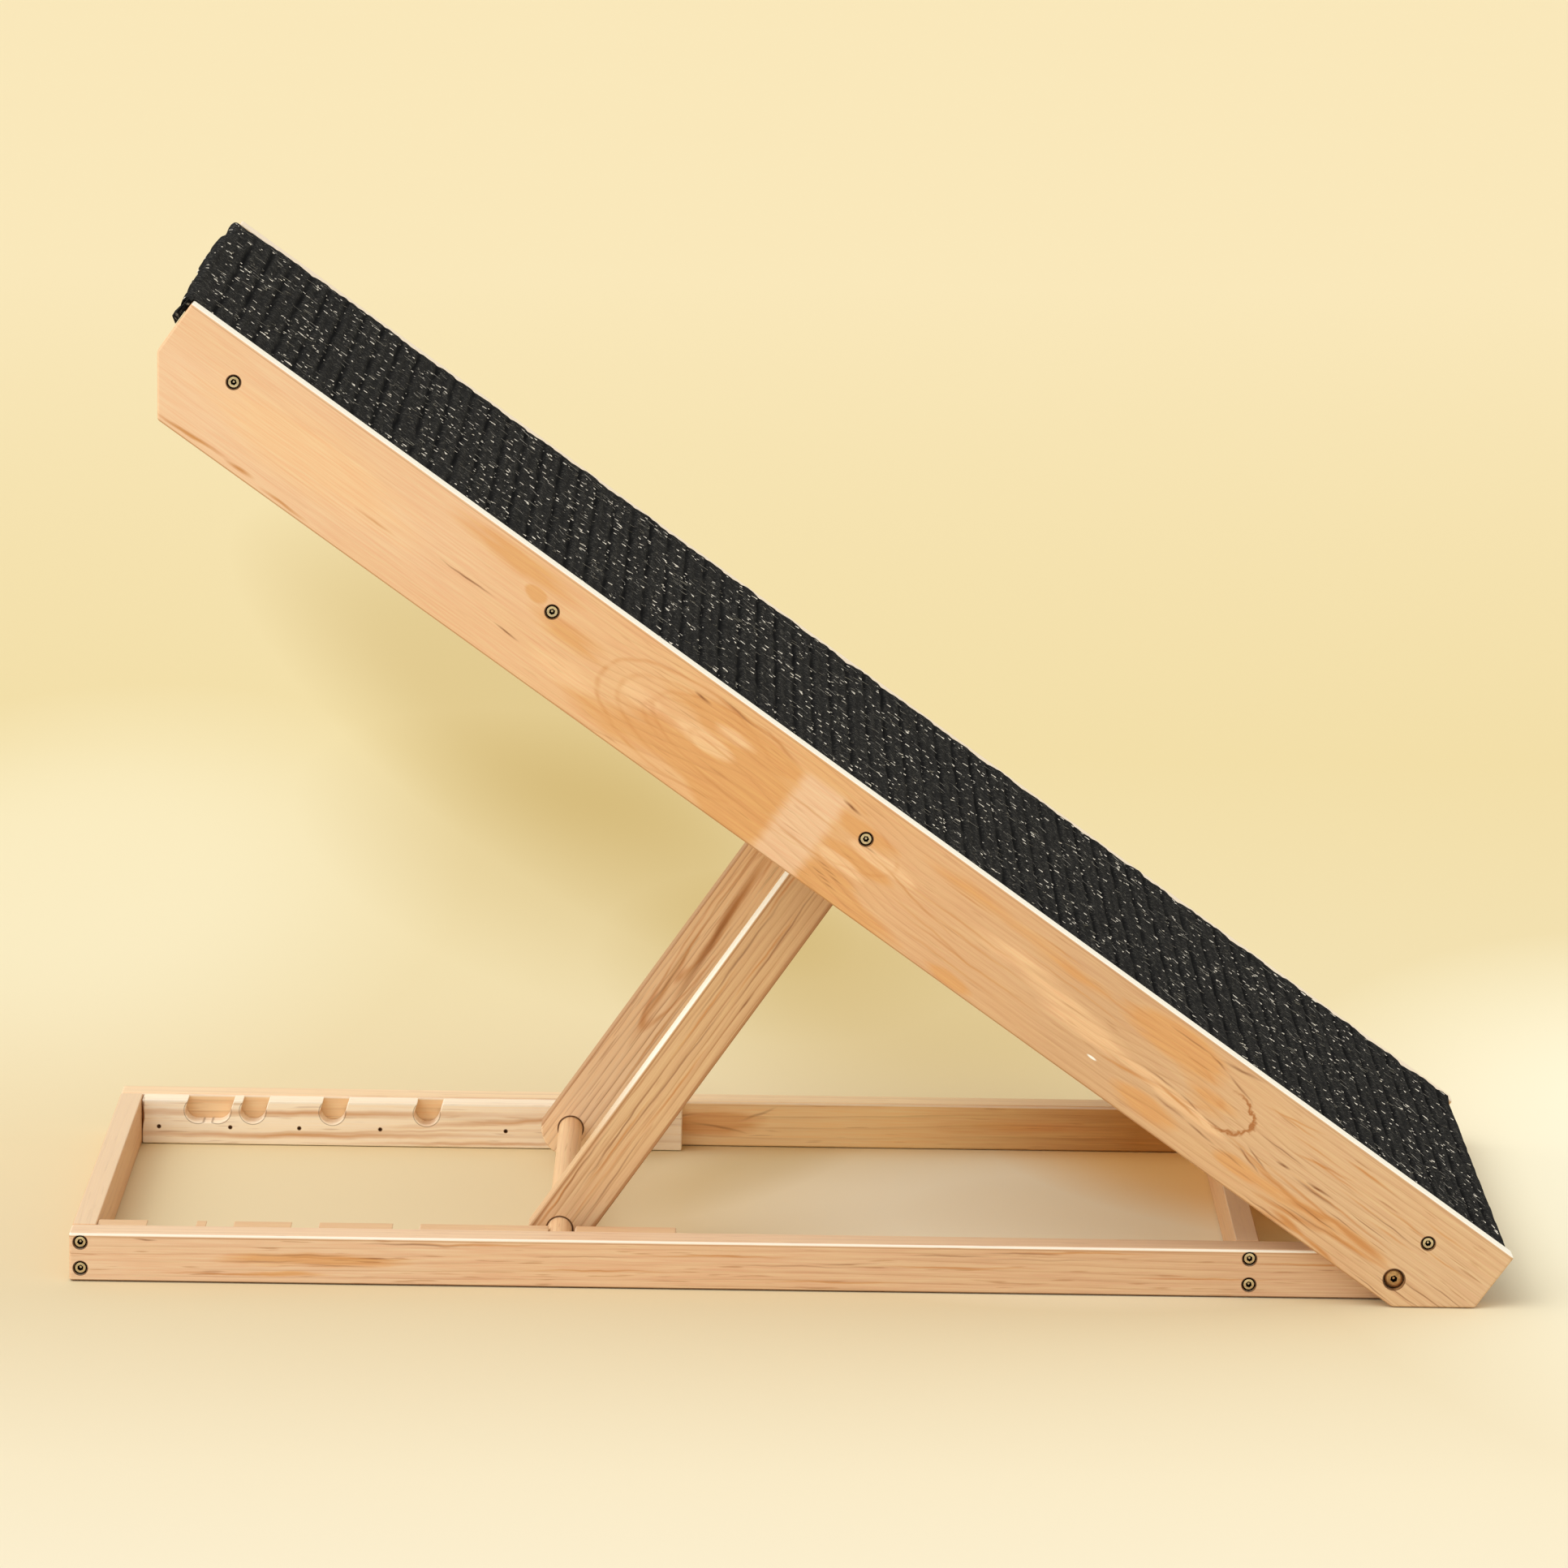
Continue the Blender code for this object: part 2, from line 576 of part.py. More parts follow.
def main():
    clear_scene()
    pine = material("clear_finished_pine", (0.78, 0.53, 0.32), 0.5)
    plywood = material("plywood", (0.66, 0.46, 0.28), 0.65)
    felt = material("ribbed_carpet", (0.018, 0.018, 0.020), 0.95)
    steel = material("zinc_plated_steel", (0.42, 0.38, 0.30), 0.35, 1.0)

    deck = add_frame("deck_frame", (HINGE_X, 0.0, HINGE_Z), TILT)
    top_x, top_z = prop_top(TILT)
    lean = math.asin((top_x - prop_foot_x(TILT)) / PROP_LENGTH)
    prop = add_frame("prop_frame", (top_x, 0.0, top_z), lean)

    tools = {}
    screw = socket_head_mesh("screw", screw_profile(), SCREW_SIDES, SCREW_SINK, steel)
    make_rail_screws(deck, screw, tools)
    make_base_screws(screw, tools)
    make_hinge(deck, steel, tools)
    make_brads(steel, tools)

    make_side_rails(deck, pine, tools)
    make_deck_board(deck, plywood)
    make_carpet(deck, felt)
    make_battens(deck, pine, tools)
    make_prop(prop, pine, tools)
    make_base_frame(pine, tools)
    make_notch_strips(pine, tools)


main()
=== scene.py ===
# Looks of an adjustable wooden pet ramp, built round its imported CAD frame.
# Metres, and millimetres in rows of strokes. +X points to the low end, +Z is up, and
# left (-Y) is the side near the camera.
import math
import random

import bmesh
import bpy
from mathutils import Matrix, Vector, noise


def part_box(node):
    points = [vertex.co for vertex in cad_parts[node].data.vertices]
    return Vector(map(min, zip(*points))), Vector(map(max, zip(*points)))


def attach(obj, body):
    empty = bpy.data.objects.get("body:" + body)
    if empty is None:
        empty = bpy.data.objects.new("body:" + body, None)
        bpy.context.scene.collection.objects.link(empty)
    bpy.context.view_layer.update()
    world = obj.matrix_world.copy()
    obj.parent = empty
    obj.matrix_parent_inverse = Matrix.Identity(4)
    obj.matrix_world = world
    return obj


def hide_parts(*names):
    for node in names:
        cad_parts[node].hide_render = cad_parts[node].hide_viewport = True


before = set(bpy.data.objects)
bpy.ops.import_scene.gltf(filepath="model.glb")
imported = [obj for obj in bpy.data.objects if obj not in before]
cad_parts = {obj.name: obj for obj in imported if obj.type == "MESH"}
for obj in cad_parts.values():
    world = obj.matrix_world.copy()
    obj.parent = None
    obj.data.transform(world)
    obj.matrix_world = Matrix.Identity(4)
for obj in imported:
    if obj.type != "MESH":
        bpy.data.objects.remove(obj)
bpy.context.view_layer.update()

bl_info = {
    "name": "Pet Ramp",
    "version": (1, 0, 0),
    "blender": (4, 5, 0),
    "location": "View3D > Sidebar > Pet Ramp",
    "description": "Builds the wood, carpet and fasteners of an adjustable pet ramp",
    "category": "Object",
}

# The deck: u runs down the slope from the head, v down from the rails' top edge
TILT = math.radians(35.5)
RAIL_LENGTH = 1.000
RAIL_HEIGHT = 0.070
RAIL_THICK = 0.015
HALF_WIDTH = 0.200
HEAD_CUT_V = 0.036
TOE_CUT_BACK = 0.042
HINGE_FROM_TOE = 0.0515
HINGE_V = 0.055
HINGE_U = RAIL_LENGTH - HINGE_FROM_TOE
TOE_CUT_U = RAIL_LENGTH - TOE_CUT_BACK
HINGE_Z = ((TOE_CUT_U - HINGE_U) * math.sin(TILT)
           + (RAIL_HEIGHT - HINGE_V) * math.cos(TILT))
TOE_REACH = HINGE_FROM_TOE * math.cos(TILT) + HINGE_V * math.sin(TILT)

# The base frame
BASE_REACH = 0.819
BASE_HEIGHT = 0.031
BASE_OUTER_Y = 0.183
BASE_INNER_Y = 0.163
HINGE_X = (BASE_REACH - TOE_REACH) / 2
BASE_END_X = HINGE_X - BASE_REACH
STRIP_HEIGHT = 0.0305
STRIP_FACE_Y = 0.1492
NOTCH_SEAT_Z = 0.023
NOTCH_LEAN = math.radians(18.0)
NOTCH_RADIUS = 0.0081
LOWER_TILTS = (26.8, 19.1, 9.3)
STORE_NOTCH_LENGTH = 0.0135
STORE_NOTCH_SHIFT = 0.0067

# The prop
PROP_U = 0.5205
PROP_V = 0.0247
PROP_LENGTH = 0.3263
LEG_WIDTH = 0.035
LEG_FOOT_RADIUS = 0.0195
DOWEL_RADIUS = 0.0078
DOWEL_ROUND = 0.0012
AXLE_RADIUS = 0.0080
BORE_GAP = 0.0003

# Fasteners
SCREW_HEAD_RADIUS = 0.00385
SCREW_SHANK_RADIUS = 0.0021
SCREW_LENGTH = 0.042
BOLT_HEAD_RADIUS = 0.0059
BOLT_SHANK_RADIUS = 0.003
SCREW_POCKET = (SCREW_HEAD_RADIUS + 0.0006, 0.0046)  # radius and depth
BOLT_POCKET = (BOLT_HEAD_RADIUS + 0.0007, 0.0057)
POCKET_SHADE_RADIUS = 4.6  # radius of a painted shade ring round a pocket, in millimetres
BOLT_SHADE_RADIUS = 6.808
CUT_MARGIN = 0.002

# The carpet
CARPET_THICK = 0.0028
CARPET_END = 0.005
CARPET_TUCK = 0.034
BOARD_THICK = 0.0036
SEAT_GAP = 0.0003
CARPET_HALF = 0.1844
CARPET_AXIS_V = CARPET_THICK + SEAT_GAP + BOARD_THICK / 2
CARPET_OUTER = BOARD_THICK / 2 + SEAT_GAP + CARPET_THICK
ROW_STEP = 0.00105
ROWS_ACROSS = 42
BATCH = 40  # small shapes made together

# The camera, in the photograph's pixels
PHOTO_SIZE = 1932
PHOTO_FOCAL = 8365.8


def moved(*place):
    return Matrix.Translation(place)


def spun(angle, axis):
    return Matrix.Rotation(angle, 4, axis)


# Board frames: local X along the grain, Z across the face
DECK = moved(HINGE_X, 0, HINGE_Z) @ spun(TILT, "Y") @ moved(-HINGE_U, 0, HINGE_V)
BASE = moved(BASE_END_X, 0, 0)
WORLD = Matrix.Identity(4)
SIDES = {"left": -1, "right": 1}


def prop_top(tilt):
    """Place of the prop's axle in X and Z with the deck at a tilt."""
    along, down = PROP_U - HINGE_U, PROP_V - HINGE_V
    return (HINGE_X + along * math.cos(tilt) - down * math.sin(tilt),
            HINGE_Z - along * math.sin(tilt) - down * math.cos(tilt))


def prop_foot_x(tilt):
    """Where the lower dowel sits in a notch with the deck at a tilt."""
    x, z = prop_top(tilt)
    return x - math.sqrt(PROP_LENGTH ** 2 - (z - NOTCH_SEAT_Z) ** 2)


PROP_X, PROP_Z = prop_top(TILT)
LEG_LEAN = math.asin((PROP_X - prop_foot_x(TILT)) / PROP_LENGTH)
PROP = moved(PROP_X, 0, PROP_Z) @ spun(LEG_LEAN, "Y")
# legs and dowels run along local Z or Y; these turn their grain on to X
LEG_GRAIN = PROP @ spun(math.pi / 2, "Y")
CROSS_GRAIN = spun(math.pi / 2, "Z")


def srgb(red, green, blue):
    """A colour given as it looks, 0 to 255, in linear values."""
    shares = [value / 255 for value in (red, green, blue)]
    return (*(s / 12.92 if s <= 0.04045 else ((s + 0.055) / 1.055) ** 2.4 for s in shares), 1.0)


def clamped(value):
    return max(0.0, min(1.0, value))


def eased(share):
    return share * share * (3 - 2 * share)


# near white for painted highlights along edges and for a pale chip; brown for painted shade lines
# along edges
PALE_HIGHLIGHT_AND_CHIP = srgb(255, 251, 238)
PAINTED_EDGE_SHADE = srgb(176, 124, 78)


def length(name, description, default, low, high):
    return bpy.props.FloatProperty(name=name, description=description, default=default,
                                   min=low, max=high, unit="LENGTH", subtype="DISTANCE")


def count(name, description, default, high):
    return bpy.props.IntProperty(name=name, description=description, default=default,
                                 min=0, max=high)


def tint(name, description, *colour):
    return bpy.props.FloatVectorProperty(name=name, description=description, size=4,
                                         default=srgb(*colour), min=0, max=1, subtype="COLOR")


class RampSizes(bpy.types.PropertyGroup):
    """Sizes that can change without moving a piece off its CAD place."""

    edge_round: length("Board Edge Rounding", "Radius of the boards' rounded edges",
                       0.0015, 0.0003, 0.003)
    small_round: length("Small Edge Rounding", "Radius of the edges of strips, bars and legs",
                        0.0011, 0.0003, 0.002)
    rib_pitch: length("Rib Pitch", "Distance between the carpet's grooves",
                      0.00725, 0.004, 0.015)
    rib_depth: length("Rib Depth", "Depth of the carpet's deeper grooves", 0.0020, 0.0, 0.0025)
    flecks: count("Flecks", "Number of pale flecks in the carpet", 1750, 6000)
    fibres: count("Loose Fibres", "Number of curled grey fibres on the carpet", 1600, 4000)


class RampColours(bpy.types.PropertyGroup):
    """Colours of the ramp and of what it stands on."""

    pine_pale: tint("Pale Pine", "Ground colour of the palest boards", 241, 198, 150)
    pine_tan: tint("Tan Pine", "Ground colour of the darker boards", 231, 194, 152)
    pine_amber: tint("Amber Pine", "Colour of the resin-rich patches", 221, 161, 96)
    pine_line: tint("Grain Line", "Colour of the late wood lines", 166, 106, 52)
    carpet_dark: tint("Carpet", "Ground colour of the carpet", 27, 26, 24)
    carpet_fleck: tint("Carpet Flecks", "Colour of the pale flecks", 250, 243, 226)
    brass: tint("Screw Plating", "Colour of the yellow-plated screws", 216, 200, 170)
    floor: tint("Floor", "Colour of the floor", 233, 218, 176)


# Shader helpers

class Tree:
    """A short way to add nodes to a material or a node group."""

    def __init__(self, tree):
        self.tree = tree
        self.count = 0

    def add(self, kind, values=(), **settings):
        if not kind.startswith("NodeGroup"):
            kind = "ShaderNode" + kind
        node = self.tree.nodes.new(kind)
        node.location = (200 * (self.count % 12), -260 * (self.count // 12))
        self.count += 1
        for key, value in settings.items():
            setattr(node, key, value)
        for key, value in dict(values).items():
            self.feed(node.inputs[key], value)
        return node

    def get(self, kind, values=(), output=0, **settings):
        return self.add(kind, values, **settings).outputs[output]

    def feed(self, socket, value):
        if isinstance(value, bpy.types.NodeSocket):
            self.tree.links.new(value, socket)
        else:
            socket.default_value = value

    def math(self, operation, *values, clamp=False):
        return self.get("Math", enumerate(values), operation=operation, use_clamp=clamp)

    def times(self, *values, clamp=False):
        return self.math("MULTIPLY", *values, clamp=clamp)

    def vector(self, operation, *values, output=0):
        return self.get("VectorMath", enumerate(values), output, operation=operation)

    def part(self, vector, axis):
        return self.get("SeparateXYZ", {0: vector}, axis)

    def span(self, value, low, high, start=0.0, end=1.0, smooth=False):
        """Start to end as the value runs from low to high."""
        return self.get("MapRange", {0: value, 1: low, 2: high, 3: start, 4: end},
                        interpolation_type="SMOOTHSTEP" if smooth else "LINEAR")

    def noise(self, vector, scale, detail=2.0, rough=0.5, distortion=0.0, place=(0, 0, 0),
              output=0):
        """Noise at a scale, which stretches it where it is three numbers."""
        if isinstance(scale, tuple):
            vector = self.get("Mapping", {"Vector": vector, "Scale": scale, "Location": place})
            scale = 1.0
        return self.get("TexNoise", {"Vector": vector, "Scale": scale, "Detail": detail,
                                     "Roughness": rough, "Distortion": distortion}, output)

    def wander(self, vector, scale, detail, rough, reach):
        """A vector that wavers evenly round zero."""
        colour = self.noise(vector, scale, detail, rough, output=1)
        return self.vector("MULTIPLY", self.vector("SUBTRACT", colour, (0.5, 0.5, 0.5)), reach)

    def oval(self, vector, place, half, turn=(0, 0, 0)):
        """Coordinates that reach from -1 to 1 over an oval."""
        return self.get("Mapping", {"Vector": vector, "Location": place, "Rotation": turn,
                                    "Scale": half}, vector_type="TEXTURE")

    def ball(self, vector, place, half, turn):
        """A soft oval spot, 1 in its middle."""
        return self.get("TexGradient", {"Vector": self.oval(vector, place, half, turn)}, 1,
                        gradient_type="SPHERICAL")

    def ramp(self, factor, *stops):
        """Colours by a factor. A stop is (place, colour) or (place, grey value)."""
        node = self.add("ValToRGB", {"Fac": factor})
        elements = node.color_ramp.elements
        while len(elements) < len(stops):
            elements.new(0.5)
        for element, (place, colour) in zip(elements, stops):
            element.position = place
            element.color = colour if hasattr(colour, "__len__") else (colour,) * 3 + (1,)
        return node.outputs[0]

    def mix(self, factor, first, second, blend="MIX"):
        return self.get("Mix", {0: factor, 6: first, 7: second}, 2, data_type="RGBA",
                        blend_type=blend)


class Finish(Tree):
    """A new material that is filled in node by node."""

    def __init__(self, name, place=None):
        self.mat = bpy.data.materials.new(name)
        self.mat.use_nodes = True
        super().__init__(self.mat.node_tree)
        source = self.add("TexCoord").outputs
        self.point = source["Object"]
        if place:  # turned into a board's own frame
            back = place.inverted()
            turn = back.to_euler("XYZ")
            self.point = self.get("Mapping", {"Vector": source["Object"], "Rotation": turn,
                                              "Location": back.to_translation()})
            self.normal = self.get("Mapping", {"Vector": source["Normal"], "Rotation": turn},
                                   vector_type="VECTOR")

    def finish(self, colour, roughness, height=None, strength=0.0, distance=0.0, **others):
        """Feeds the shader, with a bump where a height is given."""
        values = {"Base Color": colour, "Roughness": roughness, **others}
        if height is not None:
            values["Normal"] = self.get("Bump", {"Strength": strength, "Distance": distance,
                                                 "Height": height})
        shader = self.tree.nodes["Principled BSDF"]
        for key, value in values.items():
            self.feed(shader.inputs[key], value)
        return self.mat


def wood_figure_group():
    """Growth rings, streaks, pores and patches of a softwood board.

    The vector is in metres with the grain along X. Pith is where the rings' centre
    lies from the board's frame; Spacing is the width of a ring.
    """
    group = bpy.data.node_groups.get("wood_figure")
    if group:
        return group
    group = bpy.data.node_groups.new("wood_figure", "ShaderNodeTree")
    for kind, way, names in (("Vector", "INPUT", ("Vector", "Pith", "Offset")),
                             ("Float", "INPUT", ("Spacing", "Warp", "Swell")),
                             ("Float", "OUTPUT", ("Lines", "Fibre", "Patch", "Streak"))):
        for name in names:
            group.interface.new_socket(name, in_out=way, socket_type="NodeSocket" + kind)
    nodes = Tree(group)
    given = nodes.add("NodeGroupInput").outputs
    out = nodes.add("NodeGroupOutput").inputs
    moved = nodes.vector("ADD", given["Vector"], given["Offset"])
    # slow wander of the rings along the board gives tongues and ovals
    amount = nodes.get("CombineXYZ", {1: given["Warp"], 2: given["Warp"]})
    slow = nodes.wander(moved, (3.2, 11, 11), 1.5, 0.45, amount)
    fine = nodes.wander(moved, (14, 60, 60), 2.0, 0.5, (0, 0.0022, 0.0022))
    centred = nodes.vector("SUBTRACT", given["Vector"], given["Pith"])
    centred = nodes.vector("ADD", nodes.vector("ADD", centred, slow), fine)
    flat = nodes.get("CombineXYZ", {1: nodes.part(centred, 1), 2: nodes.part(centred, 2)})
    radius = nodes.math("ADD", nodes.vector("LENGTH", flat, output=1), given["Swell"])
    ring = nodes.math("FRACT", nodes.math("DIVIDE", radius, given["Spacing"]))
    # a late wood line darkens slowly and ends sharply
    line = nodes.ramp(ring, (0.0, 0.0), (0.45, 0.04), (0.78, 0.38), (0.9, 1.0), (0.97, 0.7),
                      (1.0, 0.0))
    fade = nodes.ramp(nodes.noise(moved, (7, 45, 45), 2.0, 0.6, place=(3, 0, 0)),
                      (0.3, 0.12), (0.68, 1.0))
    patch = nodes.ramp(nodes.noise(moved, (5, 26, 26), 2.0, 0.5, place=(0, 5, 0)),
                       (0.42, 0.0), (0.75, 1.0))
    streak = nodes.ramp(nodes.noise(moved, (34, 620, 620), 1.0, 0.4, place=(0, 0, 9)),
                        (0.66, 0.0), (0.74, 1.0))
    for name, value in (("Lines", nodes.times(line, fade)), ("Patch", patch),
                        ("Fibre", nodes.noise(moved, (26, 900, 900), 3.0, 0.55)),
                        ("Streak", streak)):
        nodes.feed(out[name], value)
    return group


def stroke_sum(nodes, point, strokes, depth):
    """Adds soft lens-shaped strokes: (x, z, half length, half height, slope, strength)."""
    total = 0.0
    for *sizes, slope, strength in strokes:
        x, z, half_x, half_z = (value / 1000 for value in sizes)
        ball = nodes.ball(point, (x, depth, z), (half_x, 1.0, half_z), (0, -slope, 0))
        total = nodes.math("MULTIPLY_ADD", ball, strength, total)
    return nodes.math("MINIMUM", total, 1.0)


def dashes(*rows):
    """Strokes given by their two ends: (x, z, x, z, half height, strength)."""
    return [((x1 + x2) / 2, (z1 + z2) / 2, math.hypot(x2 - x1, z2 - z1) / 2, half,
             math.atan2(z2 - z1, x2 - x1), strength) for x1, z1, x2, z2, half, strength in rows]


def arches(nodes, point, rows, depth):
    """Lines along curves: (x, z, half length, half height, width, strength, open).

    With open above 0 the curve fades out towards the end of its half length.
    """
    total = 0.0
    for *sizes, width, strength, opened in rows:
        x, z, half_x, half_z = (value / 1000 for value in sizes)
        local = nodes.oval(point, (x, depth, z), (half_x, 1.0, half_z))
        reach = nodes.vector("LENGTH", local, output=1)
        off = nodes.math("ABSOLUTE", nodes.math("SUBTRACT", reach, 1.0))
        line = nodes.span(off, 0.0, width, strength, 0.0, smooth=True)
        if opened:
            line = nodes.times(line, nodes.span(nodes.part(local, 0), opened - 0.5, opened,
                                                1.0, 0.0))
        total = nodes.math("ADD", line, total)
    return nodes.math("MINIMUM", total, 1.0)


def feathered(nodes, amount, streaks):
    """Breaks a soft patch into tongues along the grain."""
    torn = nodes.times(amount, nodes.math("MULTIPLY_ADD", streaks, 1.5, 0.25))
    return nodes.ramp(torn, (0.25, 0.0), (0.6, 1.0))


def zone_mask(nodes, x, z, streaks, zone):
    """A patch with straight ends, as (x from, x to, z low, z high) in millimetres."""
    x_from, x_to, z_low, z_high = (value / 1000 for value in zone)
    shifted = nodes.math("ADD", x, nodes.math("MULTIPLY_ADD", streaks, 0.010, -0.005))
    mask = 1.0
    for value, low, high, soft in ((shifted, x_from, x_to, 0.009), (z, z_low, z_high, 0.006)):
        rise = nodes.span(value, low, low + soft, smooth=True)
        fall = nodes.span(value, high, high - soft, smooth=True)
        mask = nodes.times(nodes.times(rise, fall), mask)
    return mask


def wood_material(name, place, ground, pith=(0, 0.05, -0.07), offset=(0, 0, 0),
                  spacing=0.005, warp=0.02, strength=0.5, amber=0.35, tones=None,
                  swells=(), line_tones=None, lines=(), soft_lines=(), ambers=(), pales=(),
                  zones=(), depth=0.0, edge_highlight_and_shade=(), end_grain=0.35, curves=(), streak=0.3,
                  chips=(), shade_rims=(), torn_curves=(), painted_top_light=0.0):
    """Clear-finished pine on one board, in the board's own frame.

    Strokes, curves, zones and the places of tones are in millimetres. The painted
    highlight and shade lines along the edges and all other sizes are in metres.
    """
    colours = bpy.context.scene.ramp_colours
    nodes = Finish(name, place)
    point, normal = nodes.point, nodes.normal
    swell = stroke_sum(nodes, point, swells, depth) if swells else 0.0
    figure = nodes.add("Group", {}, node_tree=wood_figure_group())
    for key, value in (("Vector", point), ("Pith", pith), ("Offset", offset),
                       ("Spacing", spacing), ("Warp", warp), ("Swell", swell)):
        nodes.feed(figure.inputs[key], value)
    figure = figure.outputs
    x, z = nodes.part(point, 0), nodes.part(point, 2)

    def along(stops):
        low, high = stops[0][0], stops[-1][0]
        share = nodes.span(x, low / 1000, high / 1000)
        return nodes.ramp(share, *(((at - low) / (high - low), c) for at, c in stops))

    colour = along([(at, srgb(*tone)) for at, *tone in tones]) if tones else ground
    colour = nodes.mix(nodes.times(figure["Patch"], amber), colour, colours.pine_amber)
    wavy = nodes.vector("ADD", point, nodes.wander(point, 38.0, 2.0, 0.5, (0.012, 0, 0.0035)))
    streaks = nodes.noise(point, (15, 190, 190), 3.0, 0.6)

    def worn(colour, rows, share, tone):
        patch = feathered(nodes, stroke_sum(nodes, wavy, rows, depth), streaks)
        return nodes.mix(nodes.times(patch, share), colour, tone)

    if ambers:
        colour = worn(colour, ambers, 0.75, colours.pine_amber)
    for *zone, tone, amount in zones:
        mask = zone_mask(nodes, x, z, streaks, zone)
        colour = nodes.mix(nodes.times(mask, amount), colour, tone)
    if pales:
        colour = worn(colour, pales, 0.8, colours.pine_pale)
    for key, share in (("Lines", strength), ("Streak", streak)):
        weight = nodes.times(figure[key], share)
        if line_tones:
            weight = nodes.times(weight, along(line_tones))
        colour = nodes.mix(weight, colour, colours.pine_line)
    if soft_lines:
        soft = nodes.times(stroke_sum(nodes, wavy, soft_lines, depth), 1.4, clamp=True)
        colour = nodes.mix(soft, colour, srgb(203, 143, 84))
    if curves:
        amount = nodes.times(arches(nodes, wavy, curves, depth),
                             nodes.ramp(streaks, (0.36, 0.2), (0.6, 1.0)))
        colour = nodes.mix(amount, colour, srgb(204, 136, 72))
    if torn_curves:
        torn = nodes.vector("ADD", wavy,
                            nodes.wander(point, 210.0, 2.0, 0.6, (0.011, 0, 0.0050)))
        colour = nodes.mix(arches(nodes, torn, torn_curves, depth), colour, srgb(172, 108, 50))
    # dark grain lines, pale chips, and painted shade rings round pockets, holes and notches
    for rows, draw, vector, tone in ((lines, stroke_sum, wavy, srgb(132, 76, 32)),
                                     (chips, stroke_sum, point, PALE_HIGHLIGHT_AND_CHIP),
                                     (shade_rims, arches, point, srgb(96, 58, 26))):
        if rows:
            colour = nodes.mix(draw(nodes, vector, rows, depth), colour, tone)
    # fine fibres lighten and darken the ground a little
    grey = nodes.ramp(figure["Fibre"], (0.25, 0.36), (0.75, 0.64))
    colour = nodes.mix(0.55, colour, grey, "OVERLAY")
    # end grain drinks more finish
    facing = nodes.ramp(nodes.math("ABSOLUTE", nodes.part(normal, 0)), (0.45, 0.0), (0.85, 1.0))
    colour = nodes.mix(nodes.times(facing, end_grain), colour, colours.pine_amber)
    # painted light: faces that look up are made paler
    if painted_top_light:
        upward = nodes.ramp(nodes.part(normal, 2), (0.7, 0.0), (0.95, painted_top_light))
        colour = nodes.mix(upward, colour, srgb(240, 226, 200))
    for level, half, amount, tone, *span in edge_highlight_and_shade:  # painted highlights and painted shade lines along the edges
        near = nodes.math("ABSOLUTE", nodes.math("SUBTRACT", z, level))
        near = nodes.ramp(nodes.math("DIVIDE", near, half), (0.6, amount), (1.0, 0.0))
        if span:
            near = nodes.times(near, nodes.span(x, *span, 1.0, 0.0))
        colour = nodes.mix(near, colour, tone)
    return nodes.finish(colour, nodes.ramp(figure["Fibre"], (0.3, 0.38), (0.7, 0.56)),
                        nodes.math("MULTIPLY_ADD", figure["Lines"], 0.5, figure["Fibre"]),
                        0.35, 0.00025, IOR=1.48)


def darker(colour, share):
    return tuple(value * share for value in colour[:3]) + (1.0,)


def metal_material(name, colour, roughness, wear=0.5):
    """Plated steel with fine scratches and darker rubbed spots."""
    nodes = Finish(name)
    grime = nodes.noise(nodes.point, 420.0, 3.0, 0.6)
    tone = nodes.mix(nodes.times(nodes.ramp(grime, (0.4, 0.0), (0.7, 1.0)), wear), colour,
                     darker(colour, 0.45))
    return nodes.finish(tone, nodes.ramp(grime, (0.3, roughness), (0.75, roughness + 0.22)),
                        nodes.noise(nodes.point, (900, 5200, 5200)), 0.12, 0.0001,
                        Metallic=1.0)


def plywood_material():
    """Birch plywood: rotary-cut faces and layered edges."""
    nodes = Finish("plywood_sheet", DECK)
    point = nodes.point
    wave = nodes.noise(point, (3, 70, 1), 3.0, 0.55, 1.6)
    face = nodes.ramp(wave, (0.3, srgb(206, 164, 112)), (0.55, srgb(226, 190, 140)),
                      (0.72, srgb(192, 146, 92)))
    face = nodes.mix(nodes.times(nodes.noise(point, (5, 9, 1), 3.0), 0.35), face,
                     srgb(190, 140, 84))
    # three plies, the middle one across the sheet
    layer = nodes.math("PINGPONG", nodes.part(point, 2), BOARD_THICK / 3)
    edge = nodes.ramp(nodes.math("DIVIDE", layer, BOARD_THICK / 3),
                      (0.2, srgb(150, 104, 60)), (0.5, srgb(214, 174, 120)))
    up = nodes.math("ABSOLUTE", nodes.part(nodes.normal, 2))
    fibre = nodes.noise(point, (40, 900, 900), 3.0)
    return nodes.finish(nodes.mix(up, edge, face),
                        nodes.ramp(fibre, (0.3, 0.55), (0.7, 0.72)), fibre, 0.3, 0.0002)


